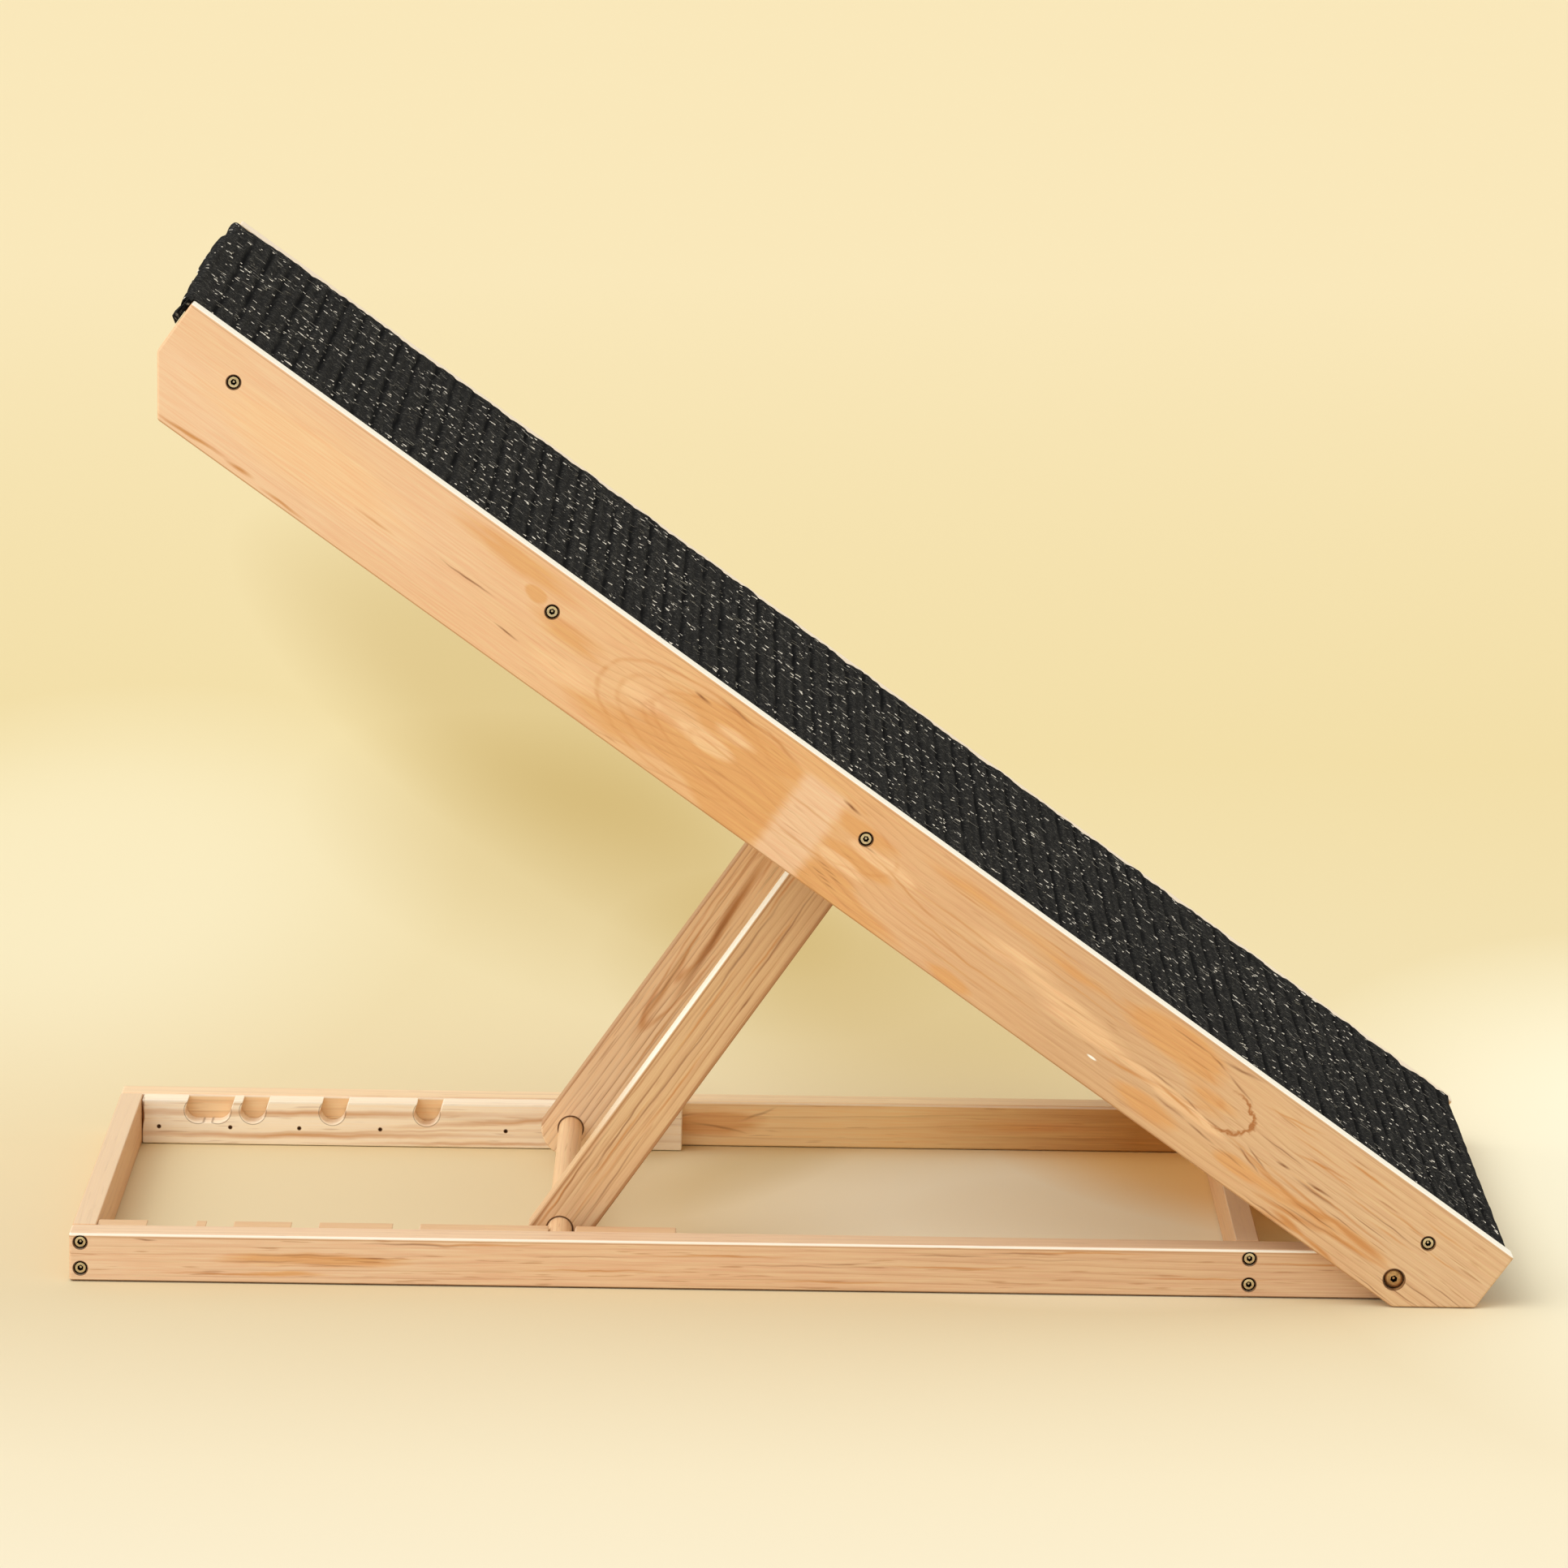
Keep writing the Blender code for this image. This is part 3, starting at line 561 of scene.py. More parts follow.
def carpet_material():
    """Charcoal needle felt with painted shade in its grooves, and a fine slanting nap."""
    colours = bpy.context.scene.ramp_colours
    nodes = Finish("ribbed_carpet_pile", DECK)
    point = nodes.point
    swirl = nodes.wander(point, 60.0, 2.0, 0.5, (0.006, 0.006, 0.006))
    slant = nodes.oval(nodes.vector("ADD", point, swirl), (0, 0, 0),
                       (1 / 120, 1 / 850, 1 / 850), (0, 0, math.radians(-16)))
    nap = nodes.noise(slant, 1.0, 3.0, 0.65)
    tuft = nodes.noise(point, 520.0, 3.0, 0.7)
    both = nodes.math("MULTIPLY_ADD", tuft, 0.45, nodes.times(nap, 0.55))
    black = srgb(11, 11, 10)
    colour = nodes.ramp(both, (0.44, black), (0.52, colours.carpet_dark),
                        (0.58, srgb(66, 65, 60)), (0.68, srgb(138, 134, 122)))
    worn = nodes.ramp(nodes.noise(point, 22.0, 3.0, 0.6), (0.4, 0.0), (0.75, 0.3))
    colour = nodes.mix(worn, colour, black)
    # painted shade: darker where the grooves are deeper
    groove = nodes.get("Attribute", {}, "Fac", attribute_name="groove")
    colour = nodes.mix(nodes.times(groove, 1.3, clamp=True), colour, srgb(7, 7, 6))
    return nodes.finish(colour, 0.95, both, 0.8, 0.0006, **{
        "Sheen Weight": 0.03, "Sheen Roughness": 0.6, "Specular IOR Level": 0.0})


def fibre_material(name, colour, spread):
    """Matt fibres whose colour wanders from one to the next."""
    nodes = Finish(name)
    tone = nodes.noise(nodes.point, 130.0, 2.0, 0.6)
    return nodes.finish(nodes.ramp(tone, (0.35, darker(colour, spread)), (0.6, tuple(colour))),
                        nodes.ramp(tone, (0.3, 0.8), (0.7, 0.95)))


# Mesh helpers

def linked(name, data):
    obj = bpy.data.objects.new(name, data)
    bpy.context.scene.collection.objects.link(obj)
    return obj


def new_piece(name, bm, mat=None):
    bmesh.ops.remove_doubles(bm, verts=bm.verts, dist=1e-6)
    bmesh.ops.recalc_face_normals(bm, faces=bm.faces)
    mesh = bpy.data.meshes.new(name)
    bm.to_mesh(mesh)
    bm.free()
    if mat:
        mesh.materials.append(mat)
    return linked(name, mesh)


def extruded(points, y_from, y_to):
    """A closed outline in X and Z, extruded along Y."""
    bm = bmesh.new()
    face = bm.faces.new([bm.verts.new((x, y_from, z)) for x, z in points])
    grown = bmesh.ops.extrude_face_region(bm, geom=[face])
    moved = [v for v in grown["geom"] if isinstance(v, bmesh.types.BMVert)]
    bmesh.ops.translate(bm, verts=moved, vec=(0.0, y_to - y_from, 0.0))
    return bm


def rounded(bm, width, segments=3, angle=30):
    """Rounds every edge that turns more than an angle."""
    bmesh.ops.recalc_face_normals(bm, faces=bm.faces)
    edges = [e for e in bm.edges if e.calc_face_angle(0.0) > math.radians(angle)]
    bmesh.ops.bevel(bm, geom=edges, offset=width, segments=segments, affect="EDGES",
                    profile=0.5, material=-1, clamp_overlap=True)
    return bm


def turned(profile, sides):
    """A profile of (depth, radius) points turned about the Y axis."""
    bm = bmesh.new()
    verts = [bm.verts.new((radius, depth, 0.0)) for depth, radius in profile]
    edges = [bm.edges.new(pair) for pair in zip(verts, verts[1:])]
    bmesh.ops.spin(bm, geom=verts + edges, cent=(0, 0, 0), axis=(0, 1, 0),
                   angle=2 * math.pi, steps=sides, use_merge=True)
    return bm


def arc(centre, radius, start, end, steps):
    """Points of an arc in X and Z, with both its ends."""
    turns = [start + (end - start) * i / steps for i in range(steps + 1)]
    return [(centre[0] + radius * math.cos(a), centre[1] + radius * math.sin(a))
            for a in turns]


def hole(x, z, radius, y_from, y_to):
    """A round cutter along Y."""
    bm = turned([(y_from, 0.0), (y_from, radius), (y_to, radius), (y_to, 0.0)], 32)
    bmesh.ops.translate(bm, vec=(x, 0, z), verts=bm.verts)
    return bm


def cut_away(obj, cutters):
    """Cuts bmesh shapes out of a piece for good."""
    tools = []
    for i, bm in enumerate(cutters):
        tool = new_piece(f"{obj.name}_cutter_{i}", bm)
        modifier = obj.modifiers.new(tool.name, "BOOLEAN")
        modifier.operation = "DIFFERENCE"
        modifier.solver = "EXACT"
        modifier.object = tool
        tools.append(tool)
    graph = bpy.context.evaluated_depsgraph_get()
    mesh = bpy.data.meshes.new_from_object(obj.evaluated_get(graph))
    old = obj.data
    obj.modifiers.clear()
    obj.data = mesh
    bpy.data.meshes.remove(old)
    for tool in tools:
        bpy.data.objects.remove(tool, do_unlink=True)


def shaded(obj, angle=32):
    """Smooth faces, sharp creases, and flat faces kept flat."""
    obj.data.shade_smooth()
    obj.data.set_sharp_from_angle(angle=math.radians(angle))
    weighted = obj.modifiers.new("even_shading", "WEIGHTED_NORMAL")
    weighted.keep_sharp = True


def fit(obj, body, node=None):
    """Ties a piece to its body, and hides the CAD piece that it stands for."""
    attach(obj, body)
    if node:
        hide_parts(node)


def board(name, points, y_range, mat, body, node, place, width, cutters=()):
    """A board of wood from its outline, rounded, cut, placed and fitted to its body."""
    obj = new_piece(name, rounded(extruded(points, *y_range), width), mat)
    if cutters:
        cut_away(obj, cutters)
    obj.data.transform(place)
    shaded(obj)
    fit(obj, body, node)
    return obj


def bar(name, node, mat, width, cutters=()):
    """A straight piece of the base that fills its CAD box."""
    low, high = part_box(node)
    points = [(low.x, low.z), (high.x, low.z), (high.x, high.z), (low.x, high.z)]
    return board(name, points, (low.y, high.y), mat, "base", node, WORLD, width, cutters)


def face_places(nodes_named, place):
    """Centres of fasteners in a board's frame, as (x, z)."""
    back = place.inverted()
    middles = [back @ (sum(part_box(name), Vector()) / 2) for name in nodes_named]
    return [(middle.x, middle.z) for middle in middles]


def screw_names(part, side):
    return [f"{part}_screw_{side}_{i}" for i in (1, 2, 3, 4)]


def pocket_shade_rims(names, place, radius=POCKET_SHADE_RADIUS, width=0.10, strength=1.0):
    """Painted shade rings round fastener pockets, as arches on a board's face."""
    return [(1000 * x, 1000 * z, radius, radius, width, strength, 0)
            for x, z in face_places(names, place)]


def pockets(names, place, face_y, sign, size=SCREW_POCKET):
    """Pockets for fastener heads in a board's outer face."""
    radius, deep = size
    spans = sorted((face_y + sign * CUT_MARGIN, face_y - sign * deep))
    return [hole(x, z, radius, *spans) for x, z in face_places(names, place)]


# Operators

class RAMP_OT_side_rails(bpy.types.Operator):
    """Model the two side rails and their clear-finished pine"""

    bl_idname = "ramp.side_rails"
    bl_label = "Side Rails"

    def execute(self, context):
        head_run = (RAIL_HEIGHT - HEAD_CUT_V) * math.tan(TILT)
        toe_rise = TOE_CUT_BACK * math.tan(TILT)
        outline = [(0.0, 0.0), (0.0, -HEAD_CUT_V), (head_run, -RAIL_HEIGHT),
                   (TOE_CUT_U, -RAIL_HEIGHT), (RAIL_LENGTH, toe_rise - RAIL_HEIGHT),
                   (RAIL_LENGTH, 0.0)]
        woods = {"left": near_rail_wood, "right": far_rail_wood}
        for side, sign in SIDES.items():
            outer = sign * HALF_WIDTH
            cutters = pockets(screw_names("rail", side), DECK, outer, sign)
            cutters += pockets(["hinge_bolt_" + side], DECK, outer, sign, BOLT_POCKET)
            board(side + "_rail", outline, (sign * (HALF_WIDTH - RAIL_THICK), outer),
                  woods[side](), "deck", "side_rail_" + side, DECK,
                  context.scene.ramp_sizes.edge_round, cutters)
        return {"FINISHED"}


def near_rail_wood():
    """The near rail's own figure, in millimetres along u and up from the top edge."""
    ambers = [
        (250, -10, 80, 12, 0, 0.8), (270, -21, 10, 5, 0, 1.5), (300, -30, 50, 16, 0, 0.7),
        (436, -40, 50, 34, 0, 1.4), (395, -46, 70, 16, -0.1, 0.9), (350, -58, 60, 12, 0, 0.8),
        (455, -60, 50, 12, 0, 1.2), (400, -20, 60, 10, 0, 0.8), (518, -22, 34, 8, 0, 1.2),
        (524, -39, 36, 8, 0, 1.2), (515, -61, 30, 18, 0, 1.3), (545, -66, 50, 10, 0, 1),
        (612, -65, 24, 6, 0, 1.2), (752, -14, 48, 16, 0, 1.3), (788, -31, 34, 14, 0, 0.75),
        (757, -58, 36, 10, 0, 1.1), (430, -15, 55, 9, -0.05, 1.3), (825, -56, 20, 6, 0, 0.9),
        (590, -12, 70, 8, 0, 0.7), (675, -16, 60, 10, 0, 0.7), (850, -54, 60, 10, 0, 0.7),
        (915, -50, 60, 10, 0, 0.6)]
    pales = [
        (540, -31, 34, 6, 0, 1.4), (515, -46, 26, 6, 0, 1.4), (775, -44, 50, 6, -0.03, 1.3),
        (110, -34, 130, 34, 0, 0.9), (358, -34, 22, 9, 0, 1.1), (404, -33, 32, 9, 0, 1.2),
        (420, -21, 22, 6, 0, 1), (700, -40, 60, 14, 0, 0.8), (640, -30, 60, 12, 0, 0.7),
        (310, -50, 40, 12, 0, 0.9)]
    soft = [
        (418, -7.5, 34, 1.6, 0, 0.7), (448, -9, 20, 1.6, -0.2, 0.7),
        (430, -52, 40, 1.1, -0.05, 0.5), (425, -34, 36, 1, -0.08, 0.45),
        (435, -24, 34, 1, -0.04, 0.45), (480, -30, 40, 0.9, -0.05, 0.45),
        (490, -50, 40, 1, -0.05, 0.45), (560, -36, 50, 1.1, -0.18, 0.6),
        (585, -47, 40, 1, -0.1, 0.5), (600, -32, 60, 1, 0, 0.5), (615, -39, 50, 1, 0, 0.5),
        (620, -50, 60, 1, 0, 0.6), (605, -57, 50, 1, 0, 0.5), (700, -16, 60, 0.9, -0.02, 0.5),
        (680, -24, 50, 0.9, -0.02, 0.5), (735, -46.5, 28, 1.4, 0.1, 0.8),
        (772, -43.5, 24, 1.3, -0.1, 0.8), (860, -50, 55, 1.4, -0.11, 0.9),
        (840, -46, 40, 1.2, -0.13, 0.7), (875, -46, 45, 1.2, -0.1, 0.7),
        (895, -40, 50, 1, -0.05, 0.6), (870, -60, 28, 2.4, 0.08, 0.9),
        (910, -55, 36, 2, 0.08, 0.9), (870, -67.5, 20, 1.8, 0.1, 0.8), (165, -43, 16, 1.2, 0, 0.5),
        (46, -65.5, 30, 1.6, 0.05, 1), (82, -65, 12, 1.8, 0.05, 0.9), (115, -67, 20, 1.4, 0, 0.8)]
    soft += [(x, z, 22, 0.9, 0, 0.6) for x, z in
             ((900, -12), (860, -18), (935, -22), (905, -29), (955, -14), (880, -24),
              (840, -12), (930, -34), (965, -28), (660, -10), (720, -11), (595, -17))]
    soft += dashes(
        (858, -55, 902, -46.5, 3.2, 1.1), (888, -47.2, 940, -50, 3, 1.1),
        (856, -64, 886, -65.7, 2.6, 1.1), (876, -65.5, 920, -69.5, 1.8, 1),
        (812, -14, 862, -5.8, 0.9, 0.7), (845, -28, 893, -19.5, 1, 0.8),
        (875, -11.3, 912, -11.3, 0.9, 0.7))
    dark = [
        (231, -37.5, 24, 0.8, -0.02, 1), (269, -51, 11, 0.8, -0.03, 1),
        (390, -13, 8, 1.2, -0.1, 1), (412, -7.5, 16, 0.8, -0.1, 0.6),
        (503.5, -13.5, 9, 1.2, -0.1, 1.1), (527, -28.5, 6, 0.8, 0, 0.6),
        (757, -7.8, 18, 0.8, 0, 0.7), (880, -57, 30, 0.8, 0.05, 0.6)]
    dark += [(845 + 13.7 * i, -30 - 7.5 * ((5 * i) % 6), 22, 0.6, -0.03, 0.8)
             for i in range(11)]
    dark += dashes(
        (767.7, -7.3, 788.8, -11.4, 0.8, 0.7), (786, -10.5, 812.5, -18.5, 0.9, 0.8),
        (742, -38.6, 770, -38.6, 0.8, 0.7), (767.2, -38.4, 790, -41.8, 0.8, 0.7),
        (786, -41.5, 812, -41.8, 0.8, 0.7), (756, -49, 783, -49.8, 0.9, 0.7),
        (780, -49.7, 809, -52, 1, 0.8), (806, -51.8, 835, -54.5, 0.9, 0.6),
        (775, -7.5, 812, -3, 1.3, 0.8), (818, -43.5, 843, -50.8, 0.9, 0.9),
        (823, -40, 846, -46.5, 0.8, 0.8), (844, -37.8, 856, -37.1, 1.1, 1),
        (867, -37.5, 885, -36.2, 1.1, 1.1), (858, -39.9, 894, -40, 1.1, 0.9))
    dark += [(508 + 6 * (i % 3), -52.5 - 1.8 * i, 7, 0.6, -0.03, 0.6) for i in range(6)]
    # an oval of rings open towards the toe, and a stain's edge open towards the head
    curves = [
        (392, -36, 62, 29, 0.05, 0.5, 0.9), (402, -35, 58, 23.5, 0.06, 0.35, 0.8),
        (425, -35, 62, 18.5, 0.06, 0.25, 0.6), (455, -34, 60, 12, 0.08, 0.2, 0.5),
        (455, -30, 90, 23.5, 0.04, 0.35, 1.4), (735, -30, -62, 15, 0.08, 0.3, 0.7)]
    return wood_material(
        "near_rail_pine", DECK, None, pith=(0, -0.235, 0.055), offset=(0.3, 0, 0.4),
        spacing=0.0046, warp=0.014, strength=0.42, amber=0.22, streak=0.5,
        tones=[(0, 239, 200, 161), (200, 237, 196, 156), (360, 232, 185, 135),
               (470, 229, 178, 122), (560, 225, 179, 133), (700, 213, 171, 128),
               (820, 220, 181, 138), (1000, 221, 185, 144)],
        line_tones=[(0, 0.10), (280, 0.20), (360, 0.75), (620, 0.6), (840, 0.8), (1000, 1.0)],
        swells=[(440, -36, 125, 50, 0, 0.022), (775, -28, 70, 36, 0, 0.010)],
        lines=dark, soft_lines=soft, ambers=ambers, pales=pales, depth=-HALF_WIDTH,
        # painted shade rings round the screw and bolt pockets
        shade_rims=(pocket_shade_rims(screw_names("rail", "left"), DECK)
              + pocket_shade_rims(["hinge_bolt_left"], DECK, BOLT_SHADE_RADIUS)),
        zones=[(463, 503, -75, -9, srgb(238, 199, 161), 0.8)],
        # painted highlight along the top edge, painted shade lines under it and along the bottom
        # edge
        edge_highlight_and_shade=[(0.0, 0.0008, 1.0, PALE_HIGHLIGHT_AND_CHIP), (-0.0016, 0.0005, 0.4, PAINTED_EDGE_SHADE),
                    (0.0005 - RAIL_HEIGHT, 0.0006, 0.6, PAINTED_EDGE_SHADE)],
        curves=curves, chips=[(713.3, -52.7, 4, 0.9, 0, 2.5)],
        torn_curves=[(799, -30.5, -20, 12.5, 0.12, 0.95, 0.15)])


def far_rail_wood():
    return wood_material(
        "far_rail_pine", DECK, bpy.context.scene.ramp_colours.pine_tan,
        pith=(0, 0.26, -0.02), offset=(2.1, 0, 0.7), spacing=0.006, warp=0.024,
        # painted highlight along the top edge
        strength=0.42, amber=0.35, edge_highlight_and_shade=[(0.0, 0.0012, 0.6, PALE_HIGHLIGHT_AND_CHIP)])


def near_base_wood():
    return wood_material(
        "near_base_pine", BASE, None, pith=(0, -0.21, 0.075), offset=(4.3, 0, 1.1),
        spacing=0.0042, warp=0.010, strength=0.34, amber=0.18, streak=0.45, painted_top_light=0.25,
        tones=[(0, 234, 199, 164), (350, 231, 193, 155), (600, 221, 182, 142),
               (820, 218, 180, 142)],
        lines=[
            (47, 27, 9, 0.8, 0, 0.8), (190, 17, 12, 0.8, 0, 0.8), (215, 26, 40, 0.9, 0, 0.7),
            (545, 24, 30, 0.8, 0, 0.7), (590, 26, 26, 0.8, 0, 0.7), (480, 18, 24, 0.7, 0, 0.6),
            (140, 18, 40, 0.9, 0, 0.5), (120, 14, 30, 0.8, 0, 0.5), (165, 12, 30, 0.8, 0, 0.5),
            (320, 20, 40, 0.7, 0, 0.4), (450, 16, 50, 0.7, 0, 0.4), (600, 22, 50, 0.7, 0, 0.4)],
        # painted shade rings round the screw pockets
        shade_rims=pocket_shade_rims(screw_names("base", "left"), BASE),
        soft_lines=[(100 + 75 * i, 6 + 5.2 * ((7 * i) % 5), 55, 0.9,
                     0.004 * ((i % 3) - 1), 0.7) for i in range(10)],
        ambers=[(150, 15, 90, 7, 0, 1.0), (130, 6, 50, 3, 0, 0.9)], depth=-BASE_OUTER_Y,
        # painted highlight along the top edge, a painted shade line under it, and painted shade
        # along the bottom edge where the rail meets the floor
        edge_highlight_and_shade=[(BASE_HEIGHT - 0.0012, 0.0009, 0.9, PALE_HIGHLIGHT_AND_CHIP),
                    (BASE_HEIGHT - 0.0026, 0.0005, 0.5, PAINTED_EDGE_SHADE),
                    (0.0, 0.0012, 0.8, srgb(120, 78, 42))])


def far_base_wood():
    return wood_material(
        "far_base_pine", BASE, None, pith=(0, 0.22, -0.045), offset=(6.2, 0, 0.3),
        spacing=0.0055, warp=0.016, strength=0.4, amber=0.3, painted_top_light=0.3,
        lines=[(370, 20, 20, 1.2, 0.15, 0.6), (400, 13, 22, 1.2, -0.2, 0.6),
               (425, 22, 14, 1.2, 0.4, 0.5)],
        ambers=[(395, 16, 50, 14, 0, 1.1), (600, 16, 100, 10, 0, 0.7)],
        # the dark tone towards the hinge end is painted shade from the deck above
        tones=[(0, 245, 211, 166), (360, 251, 219, 170), (520, 250, 216, 158),
               (680, 190, 138, 70)],
        # painted highlight along the top edge
        depth=BASE_INNER_Y, edge_highlight_and_shade=[(BASE_HEIGHT - 0.0012, 0.0009, 0.5, PALE_HIGHLIGHT_AND_CHIP)])


class RAMP_OT_base_frame(bpy.types.Operator):
    """Model the base rails, the end bar and the cross bar"""

    bl_idname = "ramp.base_frame"
    bl_label = "Base Frame"

    def execute(self, context):
        sizes = context.scene.ramp_sizes
        radius = BASE_HEIGHT - HINGE_Z
        nose = arc((HINGE_X - BASE_END_X, HINGE_Z), radius, -math.radians(70),
                   math.pi / 2, 20)
        outline = [(0.0, 0.0), (nose[0][0] - radius * 0.2, 0.0)] + nose + [(0.0, BASE_HEIGHT)]
        woods = {"left": near_base_wood(), "right": far_base_wood()}
        for side, sign in SIDES.items():
            outer = sign * BASE_OUTER_Y
            board(side + "_base_rail", outline, (sign * BASE_INNER_Y, outer), woods[side],
                  "base", "base_rail_" + side, BASE, sizes.edge_round,
                  pockets(screw_names("base", side), BASE, outer, sign))
        for name, offset in (("end_bar", 0.2), ("cross_bar", 1.7)):
            middle = sum(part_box("base_" + name), Vector()) / 2
            mat = wood_material(
                name + "_pine", Matrix.Translation(middle) @ CROSS_GRAIN, srgb(220, 176, 130),
                pith=(0, 0.05, -0.04), offset=(offset, 0, 0), spacing=0.0045, warp=0.012,
                strength=0.3, amber=0.25, painted_top_light=0.5)
            bar(name, "base_" + name, mat, sizes.small_round)
        return {"FINISHED"}


def notch_outline(x, run):
    """A leaning U notch, with its seat centred at x and run metres long."""
    lean = Vector((math.sin(NOTCH_LEAN), math.cos(NOTCH_LEAN)))
    across = Vector((math.cos(NOTCH_LEAN), -math.sin(NOTCH_LEAN))) * NOTCH_RADIUS
    rise = (BASE_HEIGHT + CUT_MARGIN - NOTCH_SEAT_Z) / math.cos(NOTCH_LEAN) + NOTCH_RADIUS
    ends = [Vector((x + side * run / 2, NOTCH_SEAT_Z)) for side in (-1, 1)]
    low = 3 * math.pi / 2
    left = arc(ends[0], NOTCH_RADIUS, math.pi - NOTCH_LEAN, low, 12)
    right = arc(ends[1], NOTCH_RADIUS, low, 2 * math.pi - NOTCH_LEAN, 12)
    if run == 0.0:
        right = right[1:]
    return [ends[0] - across + lean * rise, *left, *right, ends[1] + across + lean * rise]


def strip_wood(side, notches):
    sign = SIDES[side]
    low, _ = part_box("notch_strip_" + side)
    rim = 1000 * NOTCH_RADIUS + 0.9
    # painted shade rings round the brads, and painted shade arcs round the notches' edges
    shade_rims = pocket_shade_rims([f"brad_{side}_{i}" for i in range(1, 6)], BASE, 0.9, 1.0, 1.4)
    shade_rims += [(1000 * (x - BASE_END_X + part * run / 2), 1000 * NOTCH_SEAT_Z,
              -rim if part == 1 else rim, rim, 0.06, 0.6, abs(part))
             for x, run in notches for part in ((-1, 1) if run else (0,))]
    ground = {"left": srgb(222, 184, 142), "right": srgb(255, 241, 216)}[side]
    return wood_material(
        side + "_strip_pine", BASE, ground, pith=(0, sign * 0.19, 0.07),
        offset=(8.4 + sign, 0, 0.6), spacing=0.0095, warp=0.010, strength=0.22, amber=0.12,
        end_grain=0.08, shade_rims=shade_rims, depth=sign * STRIP_FACE_Y,
        soft_lines=[(130, 22.2, 190, 3, 0.004, 0.6), (265, 18, 110, 2.8, 0.055, 0.55),
                    (120, 7.2, 150, 3, 0.006, 0.65), (250, 3, 120, 1.8, 0.014, 0.5),
                    (200, 11, 120, 1.2, 0.020, 0.35)],
        lines=[(1000 * (low.x - BASE_END_X) + 0.4, 15, 1.6, 24, 0, 1.6)],
        # painted highlight along the top edge
        edge_highlight_and_shade=[(STRIP_HEIGHT - 0.0012, 0.0009, 0.6, PALE_HIGHLIGHT_AND_CHIP)])


class RAMP_OT_notch_strips(bpy.types.Operator):
    """Model the two notched strips that hold the prop's dowel"""

    bl_idname = "ramp.notch_strips"
    bl_label = "Notched Strips"

    def execute(self, context):
        width = context.scene.ramp_sizes.small_round
        notches = [(prop_foot_x(tilt), 0.0) for tilt in (TILT, *map(math.radians, LOWER_TILTS))]
        notches.append((prop_foot_x(0.0) - STORE_NOTCH_SHIFT, STORE_NOTCH_LENGTH))
        for side in SIDES:
            node = "notch_strip_" + side
            low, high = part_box(node)
            cutters = [extruded(notch_outline(x, run), low.y - CUT_MARGIN,
                                high.y + CUT_MARGIN) for x, run in notches]
            strip = bar(side + "_strip", node, strip_wood(side, notches), width, cutters)
            # breaks the sharp edges that the notches leave
            bevel = strip.modifiers.new("notch_edges", "BEVEL")
            bevel.width = width * 0.4
            bevel.segments = 2
            bevel.limit_method = "ANGLE"
            bevel.angle_limit = math.radians(50)
            bevel.use_clamp_overlap = True
            strip.modifiers.move(len(strip.modifiers) - 1, 0)
        return {"FINISHED"}


LEG_LOOKS = {
    "left": {
        "tones": [(0, 212, 173, 127), (200, 222, 186, 141), (345, 225, 189, 146)],
        "lines": [
            (140, 10.5, 10, 0.9, 0, 0.8), (90, 4, 60, 0.9, 0.03, 0.8),
            (200, 0, 70, 0.9, -0.02, 0.8), (250, -6, 60, 0.9, 0.02, 0.8),
            (120, -10, 70, 1, 0, 0.7), (280, 8, 40, 0.9, 0, 0.7), (290, -12, 50, 0.9, 0.02, 0.7)],
        "soft_lines": [(60 + 50 * i, -12 + 4.7 * ((3 * i) % 5), 45, 1, 0.01 * ((i % 3) - 1), 0.8)
                       for i in range(6)],
        # painted highlight along one edge, with painted shade lines along both edges
        "edge_highlight_and_shade": [(-0.0171, 0.0010, 1.0, PALE_HIGHLIGHT_AND_CHIP, 0.20, 0.27),
                       (-0.0152, 0.0006, 0.8, PAINTED_EDGE_SHADE), (0.0165, 0.0012, 0.9, PAINTED_EDGE_SHADE)],
        "curves": [(300, 14, -90, 12, 0.10, 0.5, 0.8)]},
    "right": {
        "tones": [(0, 226, 180, 128), (120, 249, 214, 168), (345, 254, 226, 190)],
        "lines": [
            (165, 2, 55, 3, 0.07, 0.55), (210, -6, 50, 0.9, 0, 0.5), (90, 8, 40, 0.9, 0, 0.5)],
        "soft_lines": [(150, 1, 80, 4.2, 0.05, 0.9), (215, -5, 50, 3, 0.09, 0.6),
                       (90, -9, 70, 1.2, 0.0, 0.6), (240, 10, 60, 1.2, 0.0, 0.6)],
        # painted shade lines along both edges
        "edge_highlight_and_shade": [(-0.0172, 0.0012, 0.8, PAINTED_EDGE_SHADE), (0.0160, 0.0012, 0.8, PAINTED_EDGE_SHADE)],
        "curves": [(145, -2, 55, 7, 0.16, 0.7, 0.0), (150, -1, 90, 11.5, 0.10, 0.6, 0.0)]}}


